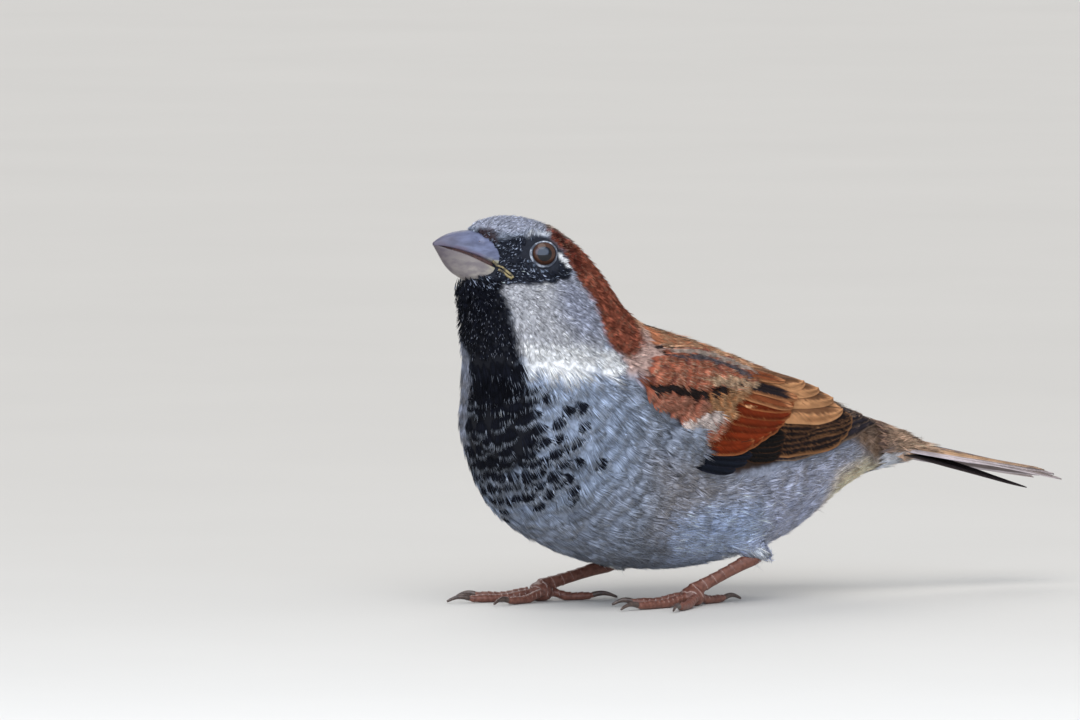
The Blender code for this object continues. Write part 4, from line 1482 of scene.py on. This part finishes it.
# tracts as (root line, tip line), each a few (back, up, out) points, for the left wing
wingTracts = [
    {"name": "primaries", "count": 7, "roots": [(64, 33, 21), (64, 29.5, 21)],
     "tips": [(92, 37.6, 8), (96.5, 36.8, 6), (100.4, 35.2, 5), (93, 34, 9)],
     "look": {"width": 4.6, "tip": 0.45, "lift": 0.05, "low": -0.1, "roll": 0.16,
              "outer": 0.16, "inner": 0.02, "end": 0.03,
              "centre": (0.022, 0.018, 0.024), "edge": (0.22, 0.15, 0.11)}},
    {"name": "secondaries", "count": 6, "roots": [(60, 38.5, 21), (61, 32.5, 22)],
     "tips": [(91.4, 37.0, 9.5), (91, 35.6, 10), (86.5, 33.2, 14)],
     "look": {"width": 5.2, "tip": 0.25, "lift": 0.28, "low": 0.0, "roll": 0.22, "bow": 0.8,
              "outer": 0.20, "inner": 0.02, "end": 0.03,
              "centre": (0.013, 0.008, 0.008), "edge": (0.34, 0.16, 0.07)}},
    {"name": "primaryCoverts", "count": 5, "roots": [(57, 34.5, 22.5), (57, 31, 22.5)],
     "tips": [(69.8, 34.2, 20), (68, 30.2, 20.5)],
     "look": {"width": 3.4, "tip": 0.4, "lift": 0.45, "low": 0.1, "roll": 0.2,
              "outer": 0.10, "inner": 0.0, "end": 0.03,
              "centre": (0.006, 0.005, 0.005), "edge": (0.09, 0.04, 0.02)}},
    {"name": "alula", "count": 4, "roots": [(46, 33.4, 23), (45, 30.8, 22.5)],
     "tips": [(59.2, 32.2, 22.4), (60.6, 30.2, 22), (56.4, 28.2, 22)],
     "look": {"width": 3.8, "tip": 0.45, "lift": 0.35, "low": -0.1, "roll": 0.2,
              "outer": 0.08, "inner": 0.0, "end": 0.03,
              "centre": (0.006, 0.008, 0.014), "edge": (0.022, 0.024, 0.040)}},
    {"name": "tertials", "count": 4, "roots": [(62, 45, 15), (61, 43, 17), (59, 40.5, 20)],
     "tips": [(80.5, 44.4, 9), (86.5, 41.6, 8.5), (89.5, 38.4, 10.5)],
     "look": {"width": 8.6, "tip": 0.46, "power": 1.7, "lift": 0.50, "low": 0.1, "roll": 0.22, "bow": 0.5,
              "outer": 0.46, "inner": 0.18, "end": 0.12,
              "centre": (0.16, 0.072, 0.034), "edge": (0.56, 0.28, 0.13)}},
    {"name": "greaterCoverts", "count": 8,
     "roots": [(57, 44, 19), (52, 41, 22), (48, 38, 23), (46.5, 34.4, 23)],
     "tips": [(74.2, 41.2, 16), (71.4, 38.8, 18.6), (68.2, 36.4, 20), (64.6, 35.0, 21.4),
              (60.2, 33.8, 22.4)],
     "look": {"width": 5.2, "tip": 0.34, "lift": 0.70, "low": -0.25, "roll": 0.26, "bow": 0.7,
              "outer": 0.14, "inner": 0.0, "end": 0.05,
              "centre": (0.142, 0.019, 0.004), "edge": (0.36, 0.125, 0.046)}},
    {"name": "innerCoverts", "count": 3, "roots": [(57, 47.0, 16), (56, 45, 18.5), (55, 43.8, 20)],
     "tips": [(73.6, 44.6, 13.8), (74.4, 41.2, 16.6), (72.6, 39.2, 17.8)],
     "look": {"width": 4.4, "tip": 0.4, "lift": 0.85, "low": 0.2, "roll": 0.2,
              "outer": 0.26, "inner": 0.22, "end": 0.16,
              "centre": (0.012, 0.008, 0.010), "edge": (0.40, 0.17, 0.075)}},
]
chestnutInner = (0.20, 0.055, 0.02)       # the inner coverts but for the middle one


def linePoint(line, share):
    spots = np.array(line, float)
    at = share * (len(spots) - 1)
    return np.array([np.interp(at, np.arange(len(spots)), spots[:, k]) for k in range(3)])


def layWing(sign):
    local = np.random.default_rng(40)
    vanes = []
    for tract in wingTracts:
        count = tract["count"]
        for k in range(count):
            share = 1 - k / max(count - 1, 1)      # the lowest feather first, the upper ones over it
            look = dict(tract["look"])
            tone = local.uniform(0.86, 1.14)
            look["centre"] = tuple(np.array(look["centre"]) * tone)
            if tract["name"] == "innerCoverts" and k != 1:
                look["centre"] = chestnutInner
            look["edge"] = tuple(np.array(look["edge"]) * local.uniform(0.9, 1.1))
            look["lift"] = look["lift"] + 0.06 * (1 - share)
            jitter = local.normal(0, 0.25, 3) * [1, 0.4, 0]
            root = linePoint(tract["roots"], share)
            tip = linePoint(tract["tips"], share) + jitter
            root[2] *= sign
            tip[2] *= sign
            points, grid, barb = layVane(spot(*root), spot(*tip), look, sign, formSurface)
            vanes.append((points, grid, barb, look, sign))
    return vanes


for side, sign in sides.items():
    wing = layWing(sign)
    vanePiece("wing_feathers_" + side, wing, vaneFinish, ["wing_quills_" + side])
    barbPiece("wing_barbs_" + side, wing, 500)


# the tail: twelve feathers stacked from the outside up
tailLook = {
    "width": 7.6, "slim": 1.0, "tip": 0.46, "power": 1.3, "outer": 0.30, "inner": 0.10, "end": 0.03,
    "step": 0.17, "roof": 1.15, "droop": 1.4, "apart": 0.8, "stations": 6,
    "nearTip": 0.40, "nearPower": 1.6,
    "centre": (0.20, 0.155, 0.14), "edge": (0.58, 0.50, 0.505),
}
# what differs by layer, from the middle pair on top to the outer pair, which is dark
tailLayers = [
    {"shorter": 2.6, "centre": (0.11, 0.11, 0.15), "edge": (0.56, 0.35, 0.21)},
    {"shorter": 1.8, "edge": (0.60, 0.39, 0.25)},
    {"shorter": 0.9, "runOn": 0.8},
    {"shorter": 0.2, "runOn": 1.5},
    {"shorter": 0, "centre": (0.16, 0.13, 0.13), "edge": (0.58, 0.52, 0.56)},
    {"shorter": 8.0, "slim": 0.6, "roof": 0.3,
     "centre": (0.012, 0.009, 0.010), "edge": (0.045, 0.034, 0.034)},
]


def tailShape():
    # the solid's middle line, half width and half height at a few places along it
    block = nodePoints("tail")
    start, end = block[:, 0].min(), block[:, 0].max()
    stations = np.linspace(start + 3 * mm, end - 4 * mm, tailLook["stations"])
    centres, acrosses, halves, talls = [], [], [], []
    for x in stations:
        ring = block[np.abs(block[:, 0] - x) < 7 * mm]
        left, right = ring[ring[:, 1].argmin()], ring[ring[:, 1].argmax()]
        across = unitRows((right - left) * [0, 1, 1])
        up = np.cross([1, 0, 0], across)
        centre = (left + right) / 2
        heights = (ring - centre) @ up
        centres.append([x, centre[1], centre[2] + (heights.max() + heights.min()) / 2 * 0.5])
        acrosses.append(across)
        halves.append(np.linalg.norm(right - left) / 2)
        talls.append((heights.max() - heights.min()) / 2)
    centres = np.array(centres)
    across = unitRows(np.array(acrosses).mean(0))
    return {
        "start": start, "end": end, "stations": stations, "halves": halves, "talls": talls,
        "across": across, "up": unitRows(np.cross([1, 0, 0], across)),
        "middle": np.interp(0.5, [0, 1], centres[[0, -1], 1]),
        "heightFit": np.polyfit(centres[:, 0], centres[:, 2], 2),
    }


def tailVane(shape, layer, sign, local):
    # one feather of a layer, laid over the solid's upper side
    look = dict(tailLook, **tailLayers[layer])
    look["width"] *= look["slim"]
    across, up = shape["across"], shape["up"]
    reach = shape["end"] - (0.2 + look["shorter"]) * mm - abs(local.normal(0, 0.2)) * mm
    t = vaneRows()
    x = shape["start"] + 2 * mm + (reach - shape["start"] - 2 * mm) * t
    wide = np.interp(x, shape["stations"], shape["halves"])
    tall = np.interp(x, shape["stations"], shape["talls"])
    half = vaneHalf(t, look) * mm
    outermost = np.maximum(wide - (half if layer < 4 else half.max()), 0.3 * mm)
    shift = look["apart"] * mm + (outermost - look["apart"] * mm) * layer / 5
    if sign > 0 and "runOn" in look:     # the near edge runs on to the end of the tail
        shift = shift + look["runOn"] * t ** 3 * mm
        look["tip"], look["power"] = look["nearTip"], look["nearPower"]
    top = tall * 0.9 - look["step"] * layer * mm
    base = np.stack([x, np.full_like(x, shape["middle"]), np.polyval(shape["heightFit"], x)], 1)
    line = base - across * (sign * shift)[:, None] + up * (top - look["droop"] * t ** 2 * mm)[:, None]
    side = -across * sign
    if layer == 5:      # the outer pair hangs a little on the near side
        hang = 0.6 + 3.0 * t ** 1.5 if sign > 0 else np.full(len(t), -0.3)
        line = line - up * (hang * mm)[:, None]
        side = side - up * (0.42 if sign > 0 else 0)
    look["centre"] = tuple(np.array(look["centre"]) * local.uniform(0.85, 1.15))
    points = np.zeros((len(x), len(vaneGrid["across"]), 3))
    for j, v in enumerate(vaneGrid["across"]):
        sideways = (shift + v * half) / wide
        low = -look["roof"] * sideways ** 2 * tall - 0.05 * v * mm
        points[:, j] = line + side * (v * half)[:, None] + up * low[:, None]
    grid = np.stack(np.meshgrid(t, vaneGrid["across"], indexing="ij"), -1)
    barb = (x - x[0])[:, None] / mm + 1.1 * np.abs(grid[..., 1]) * half[:, None] / mm * 2
    return points, grid, barb, look, sign


def makeTail():
    local = np.random.default_rng(41)
    shape = tailShape()
    vanes = [tailVane(shape, layer, sign, local) for layer in range(5, -1, -1) for sign in (1, -1)]
    vanePiece("tail_feathers", vanes, vaneFinish, ["tail"])
    barbPiece("tail_barbs", vanes, 510)


makeTail()
print("wings and tail ready")

# the line where the two halves of the bill meet, as distances back and heights
mouthLine = ([0, 3, 6.3, 10, 14], [73.4, 72.8, 71.7, 70.2, 68.3])
billLook = {"sharp": 48, "crease": 0.85, "nostril": (9.2, 74.3, 0), "nostrilDepth": 0.45, "open": 1.4}
hornTones = {
    "bill_upper": {"material": "hornUpper", "body": (0.148, 0.168, 0.272), "streak": (0.072, 0.080, 0.134),
                   "tip": (0.075, 0.065, 0.10), "edge": (0.10, 0.075, 0.115)},
    "bill_lower": {"material": "hornLower", "body": (0.30, 0.27, 0.245), "streak": (0.16, 0.138, 0.145),
                   "tip": (0.050, 0.036, 0.054), "edge": (0.21, 0.18, 0.172)},
}
cornerTone = (0.40, 0.38, 0.25)


def hornMaterial(tones):
    material, tree, shader = newMaterial(tones["material"], 0.38, 0.4)
    place = addNode(tree, "ShaderNodeTexCoord").outputs["Object"]
    back = addNode(tree, "ShaderNodeSeparateXYZ", {0: place}).outputs[0]
    towardTip = riseNode(tree, back, boxLow.x + 9 * mm, boxLow.x)
    stretch = addNode(tree, "ShaderNodeMapping", {"Vector": place, "Scale": (0.35, 1.0, 1.0)}).outputs[0]
    streak = riseNode(tree, noiseNode(tree, 900.0, 4.0, stretch), 0.3, 0.7)
    colour = mixNode(tree, streak, tones["body"], tones["streak"])
    mottle = mathNode(tree, "MULTIPLY_ADD", streak, 0.8, readValue(tree, "rise"))
    # darker towards the line where the halves meet; on the lower half this is painted shade under the upper
    # half
    colour = mixNode(tree, riseNode(tree, mottle, 1.7, 0.5), colour, tones["edge"])
    atCorner = riseNode(tree, back, boxLow.x + 9 * mm, boxLow.x + 13 * mm)
    corner = mathNode(tree, "MULTIPLY", atCorner, riseNode(tree, mottle, 1.9, 0.7))
    colour = mixNode(tree, mathNode(tree, "MULTIPLY", corner, 0.8), colour, cornerTone)
    colour = mixNode(tree, mathNode(tree, "MULTIPLY", towardTip, 0.75), colour, tones["tip"])
    colourOn(tree, shader, colour)
    bumpOn(tree, shader, noiseNode(tree, 2400.0, 4.0, stretch), 0.25, 0.00005)
    return material


def keepRidges(piece):
    # the sharp edges stay sharp when the horn is rounded off
    choose(piece)
    bpy.ops.object.mode_set(mode="EDIT")
    bpy.ops.mesh.select_mode(type="EDGE")
    bpy.ops.mesh.select_all(action="DESELECT")
    bpy.ops.mesh.edges_select_sharp(sharpness=math.radians(billLook["sharp"]))
    bpy.ops.transform.edge_crease(value=billLook["crease"])
    bpy.ops.object.mode_set(mode="OBJECT")


def closeLower(points, back, depth):
    # the lower half is nearly shut at the tip, and deeper behind it
    deep = np.clip(depth / 2.6, 0, 1)
    widest = 1 - 0.35 * smoothRise(back, 8, 14)
    drop = billLook["open"] * smoothRise(back, 0.3, 5) * widest * deep
    lift = 0.40 * smoothRise(-back, -15, -2) + 0.24 * smoothRise(-back, -4.0, -0.8)
    points[:, 2] += (lift - drop) * mm
    points[:, 0] -= 0.6 * smoothRise(-back, -7, -1.5) * mm


def nostrilDent(places):
    # the nostrils lie half under the feathers of the brow
    gap = np.linalg.norm((places - billLook["nostril"]) * [1, 1.25, 0], axis=1)
    return billLook["nostrilDepth"] * smoothRise(-gap, -1.1, -0.2) * (np.abs(places[:, 2]) > 1.2)


def makeBill():
    for node, tones in hornTones.items():
        piece = copyOf([node], node.replace("_", "") + "Horn")
        keepRidges(piece)
        roundOff(piece)
        points = pointsOf(piece.data)
        places = placesOf(points)
        depth = np.interp(places[:, 0], *mouthLine) - places[:, 1]
        if node == "bill_lower":
            closeLower(points, places[:, 0], depth)
        else:
            points -= normalsOf(piece.data) * (nostrilDent(places) * mm)[:, None]
        setValues(piece.data, "rise", "FLOAT", np.abs(depth))
        movePoints(piece, points)
        finishPiece(piece, hornMaterial(tones), [node])


liningLook = {
    "roughness": 0.5, "specular": 0.3, "grain": 1200.0, "detail": 3.0, "rise": (0.3, 0.7), "bump": 0.3,
    "dark": (0.045, 0.022, 0.022), "light": (0.10, 0.045, 0.04),
}


def makeMouth():
    # a lining between the two halves of the bill, so that nothing shows through; its dark tone is painted
    # shade inside the mouth
    piece = copyOf(bills, "mouth_lining")
    blendShape(piece, 0.25, 0.25, 6)
    points, normals = pointsOf(piece.data), normalsOf(piece.data)
    shrink = 0.75 + 0.3 * smoothRise(-placesOf(points)[:, 0], -4, -1)
    movePoints(piece, points - normals * (shrink * mm)[:, None])
    finishPiece(piece, grainyMaterial("mouthLining", liningLook))


gapeLook = {
    "roughness": 0.45, "specular": 0.4, "grain": 1100.0, "detail": 3.0, "rise": (0.38, 0.62), "bump": 0.3,
    "dark": (0.045, 0.037, 0.024), "light": (0.25, 0.20, 0.095), "thick": 0.24, "buried": 0.15,
}
gapeLines = [
    [(11.4, 70.0, 3.8), (12.0, 69.3, 4.4), (12.9, 68.9, 5.2), (13.5, 68.1, 5.9), (14.2, 67.4, 6.6),
     (14.5, 66.7, 6.9)],
    [(12.3, 68.4, 4.7), (13.1, 67.9, 5.4), (13.7, 67.1, 6.0), (14.3, 66.6, 6.8)],
]


def makeFlange(spots, phase):
    # a soft cord of skin, a little thicker towards its end
    curve = bpy.data.curves.new("flange", "CURVE")
    curve.dimensions, curve.bevel_depth, curve.bevel_resolution = "3D", gapeLook["thick"] * mm, 3
    curve.use_fill_caps = True
    spline = curve.splines.new("POLY")
    spline.points.add(len(spots) - 1)
    for i, place in enumerate(spots):
        spline.points[i].co = (*place, 1)
        spline.points[i].radius = 0.85 + 0.25 * i / (len(spots) - 1) + 0.16 * math.sin(2.6 * i + phase)
    choose(addPiece("flange", curve))
    bpy.ops.object.convert(target="MESH")
    return bpy.context.object


def makeGape():
    # the yellow flanges at the corners of the mouth
    billSurface = nodeSurface(["head"] + bills)
    flanges = []
    for sign in sides.values():
        for k, line in enumerate(gapeLines):
            spots, outs = snapTo(billSurface, np.array([spot(b, u, o * sign) for b, u, o in line]))
            flanges.append(makeFlange(spots - outs * gapeLook["buried"] * mm, k))
    finishPiece(joinAll(flanges, "gape_flanges"), grainyMaterial("gapeSkin", gapeLook))


makeBill()
makeMouth()
makeGape()

eyeLook = {
    "around": 64, "rings": 40, "drawnIn": 0.16, "pupil": 0.46, "iris": 0.76,
    "brown": (0.070, 0.027, 0.014), "rim": (0.014, 0.007, 0.005), "black": (0.004, 0.004, 0.005),
}
# rim is the dark inner edge of the lids next to the eye: painted shade where the lids overhang it
lidLook = {
    "around": 96, "across": 14, "away": 0.05, "thick": 0.19, "turns": 48, "reach": 4,
    "beads": 30, "beadSize": 0.10, "wider": 0.08, "slope": 0.35,
    "dark": (0.17, 0.195, 0.245), "light": (0.52, 0.555, 0.635),
    "blotch": (0.045, 0.055, 0.080), "rim": (0.018, 0.020, 0.030),
}


def eyeMaterial():
    material, tree, shader = newMaterial("wetEye", 0.3, 0.0)
    for key, value in (("Weight", 0.72), ("Roughness", 0.02), ("IOR", 1.5)):
        shader.inputs["Coat " + key].default_value = value
    gaze = readValue(tree, "gaze")           # sine of the angle off the eye's axis
    streaks = noiseNode(tree, 3000.0, 3.0)
    brown = mixNode(tree, streaks, eyeLook["brown"], eyeLook["rim"])
    atRim = riseNode(tree, gaze, eyeLook["iris"] - 0.1, eyeLook["iris"])
    iris = mixNode(tree, atRim, brown, eyeLook["rim"])
    pupil = riseNode(tree, gaze, eyeLook["pupil"] + 0.02, eyeLook["pupil"] - 0.02)
    colourOn(tree, shader, mixNode(tree, pupil, iris, eyeLook["black"]))
    return material


def lidMaterial():
    material, tree, shader = newMaterial("lidSkin", 0.55, 0.35)
    grain = riseNode(tree, noiseNode(tree, 2500.0, 3.0), 0.35, 0.65)
    colour = mixNode(tree, grain, lidLook["dark"], lidLook["light"])
    blotch = riseNode(tree, noiseNode(tree, 700.0, 2.0), 0.38, 0.6)
    colour = mixNode(tree, blotch, lidLook["blotch"], colour)
    # the inner edge of the ring, next to the eye, is painted shade
    colour = mixNode(tree, readValue(tree, "outsideRimShade"), lidLook["rim"], colour)
    colourOn(tree, shader, colour)
    bumpOn(tree, shader, grain, 0.4, 0.00005)
    return material


def makeEyeball(side, material):
    low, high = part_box("eye_" + side)
    radius = max(high - low) / 2
    centre, gaze = np.array((low + high) / 2), np.array(gazes[side])
    bpy.ops.mesh.primitive_uv_sphere_add(
        segments=eyeLook["around"], ring_count=eyeLook["rings"], radius=radius, location=centre)
    ball = bpy.context.object
    ball.name = "eyeball_" + side
    applyPlace(ball)
    rel = unitRows(pointsOf(ball.data) - centre)
    offAxis = np.linalg.norm(np.cross(rel, gaze), axis=1) + 2 * (rel @ gaze < 0)
    setValues(ball.data, "gaze", "FLOAT", offAxis)
    # the ball draws in beyond the lids, under the skin
    shrink = 1 - eyeLook["drawnIn"] * smoothRise(offAxis, 0.80, 0.92)
    movePoints(ball, centre + rel * (radius * shrink)[:, None])
    finishPiece(ball, material, ["eye_" + side])
    eyeballs.objects.link(ball)


def skinLevels(seat, gaze, first, second):
    # how far the skin round the lids rises over the ring's own level, by direction
    turns = np.linspace(-math.pi, math.pi, lidLook["turns"], endpoint=False)
    levels = np.zeros(len(turns))
    above = lidLook["reach"] * mm
    for k, angle in enumerate(turns):
        rim = seat + (first * math.cos(angle) + second * math.sin(angle)) * (lidRadius + 0.5 * mm)
        hit = skinSurface.ray_cast(Vector(rim + gaze * above), Vector(-gaze), 2 * above)
        levels[k] = above - hit[3] if hit[0] is not None else 0
    levels = np.maximum(levels + 0.05 * mm, 0)
    for _ in range(6):
        levels = (np.roll(levels, 1) + levels + np.roll(levels, -1)) / 3
    return np.r_[turns, math.pi], np.r_[levels, levels[0]]


def makeLids(side, material):
    seat, gaze = np.array(lidSeats[side]), np.array(gazes[side])
    crest = lidRadius + lidLook["away"] * mm
    bpy.ops.mesh.primitive_torus_add(
        major_segments=lidLook["around"], minor_segments=lidLook["across"],
        major_radius=crest, minor_radius=lidLook["thick"] * mm,
        location=lidSeats[side], rotation=gazes[side].to_track_quat("Z", "X").to_euler())
    lid = bpy.context.object
    lid.name = "lids_" + side
    applyPlace(lid)
    rel = pointsOf(lid.data) - seat
    axial = rel @ gaze
    flat = rel - axial[:, None] * gaze
    radial = np.linalg.norm(flat, axis=1)
    first = unitRows(np.cross(gaze, np.cross([1.0, 0, 0], gaze)))       # backwards, across the gaze
    second = unitRows(np.cross(gaze, first))
    second = second if second[2] > 0 else -second
    turnOf = np.arctan2(flat @ second, flat @ first)
    # the lids stand on the skin round them, wherever it rises over the ring's own level
    level = np.interp(turnOf, *skinLevels(seat, gaze, first, second))
    beads = 1 + lidLook["beadSize"] * np.sin(lidLook["beads"] * turnOf)
    outer = np.maximum(radial - lidRadius, 0)
    frontAndLow = -(flat @ first) * np.sign(first[0]) - flat @ second
    fleshy = 1.5 + 0.9 * smoothRise(frontAndLow, -2 * mm, 3 * mm)
    stretched = np.where(radial > crest, crest + (radial - crest) * fleshy, radial)
    stretched = stretched * (1 - lidLook["wider"] * np.abs(np.sin(turnOf)) ** 2)      # wider than tall
    axial = axial * beads - lidLook["slope"] * outer + level
    setValues(lid.data, "outsideRimShade", "FLOAT", smoothRise(radial, crest - 0.03 * mm, crest + 0.06 * mm))
    movePoints(lid, seat + unitRows(flat) * stretched[:, None] + axial[:, None] * gaze)
    finishPiece(lid, material)


def makeEyes():
    wet, lidSkin = eyeMaterial(), lidMaterial()
    for side in sides:
        makeEyeball(side, wet)
        makeLids(side, lidSkin)


makeEyes()
print("head finished")

legLook = {
    "grow": 0.16, "voxel": 0.2, "rounds": 6, "stub": 0.9,
    "tarsusStep": 2.3, "toeStep": 1.25, "height": 0.13,      # how long and how high the scutes are
    "dark": (0.115, 0.040, 0.027), "light": (0.19, 0.076, 0.052), "seam": (0.50, 0.38, 0.34),
}
clawLook = {
    "roughness": 0.3, "specular": 0.5, "grain": 1800.0, "detail": 3.0, "rise": (0.3, 0.7),
    "dark": (0.045, 0.030, 0.026), "light": (0.10, 0.065, 0.052),
}


def legMaterial():
    material, tree, shader = newMaterial("scaledLeg", 0.42, 0.45)
    seam = readValue(tree, "scute")
    grain = riseNode(tree, noiseNode(tree, 1300.0, 4.0), 0.3, 0.7)
    colour = mixNode(tree, grain, legLook["dark"], legLook["light"])
    pale = riseNode(tree, seam, 0.80, 0.98)
    colour = mixNode(tree, mathNode(tree, "MULTIPLY", pale, 0.7), colour, legLook["seam"])
    colourOn(tree, shader, colour)
    bumpOn(tree, shader, noiseNode(tree, 3500.0, 3.0), 0.35, 0.00006)
    return material


def legBones(side):
    # (start, end, length of a scute) for the bare leg and each toe
    shank = nodePoints("tarsus_" + side)
    ankle = shank[shank[:, 2] > shank[:, 2].max() - 1.5 * mm].mean(0)
    foot = shank[shank[:, 2] < shank[:, 2].min() + 1.5 * mm].mean(0)
    bones = [(ankle, foot, legLook["tarsusStep"])]
    for digit in digits:
        claw = nodePoints(f"claw_{digit}_{side}")
        near = claw[np.linalg.norm(claw - foot, axis=1).argmin()]
        bones.append((foot, near, legLook["toeStep"]))
    return bones


def clawStub(node, near):
    # the claw's base, which the toe's end closes round
    towards = nodePoints(node).mean(0) - near
    towards = towards / np.linalg.norm(towards)
    return cutOff(copyOf([node], "stub"), near + legLook["stub"] * mm * towards, towards)


def scutesOf(points, bones):
    # how far along its scute each point lies, and how high the scute stands there
    best = np.full(len(points), farOff)
    scute, bulge = np.zeros(len(points)), np.zeros(len(points))
    for start, end, step in bones:
        run = end - start
        t = np.clip((points - start) @ run / (run @ run), 0, 1.1)
        axis = start + t[:, None] * run
        gap = np.linalg.norm(points - axis, axis=1)
        closer = gap < best
        best = np.where(closer, gap, best)
        phase = (t * np.linalg.norm(run) / mm / step) % 1.0
        lead = unitRows(np.cross(run, [0, 1, 0]))
        lead = lead if lead[2] > 0 or abs(lead[2]) < 0.3 else -lead
        front = smoothRise(unitRows(points - axis) @ lead, -0.35, 0.25)
        firm = 0.87 + 0.13 * np.clip(t * 1.1, 0, 1) if step > 2 else 1
        scute = np.where(closer, phase * front * firm, scute)
        bulge = np.where(closer, (phase ** 1.5 - 0.45) * front, bulge)
    return scute, bulge


def makeLeg(side, material):
    nodes = ["tarsus_" + side] + [f"toe_{digit}_{side}" for digit in digits]
    bones = legBones(side)
    stubs = [clawStub(f"claw_{digit}_{side}", bone[1]) for bone, digit in zip(bones[1:], digits)]
    piece = joinAll([copyOf(nodes, "leg_" + side)] + stubs, "leg_" + side)
    blendShape(piece, legLook["grow"], legLook["voxel"], legLook["rounds"])
    points, normals = pointsOf(piece.data), normalsOf(piece.data)
    scute, bulge = scutesOf(points, bones)
    move = -legLook["grow"] + legLook["height"] * bulge
    points = points + normals * (move * mm)[:, None]
    points[:, 2] = np.maximum(points[:, 2], boxLow.z)
    movePoints(piece, points)
    setValues(piece.data, "scute", "FLOAT", scute)
    finishPiece(piece, material, nodes)


def makeClaws(side, material):
    for digit in digits:
        node = f"claw_{digit}_{side}"
        claw = copyOf([node], f"talon_{digit}_{side}")
        roundOff(claw)
        finishPiece(claw, material, [node])


def makeLegs():
    scaled, horn = legMaterial(), grainyMaterial("clawHorn", clawLook)
    for side in sides:
        makeLeg(side, scaled)
        makeClaws(side, horn)


makeLegs()
print("legs ready")

bpy.data.objects.remove(form)
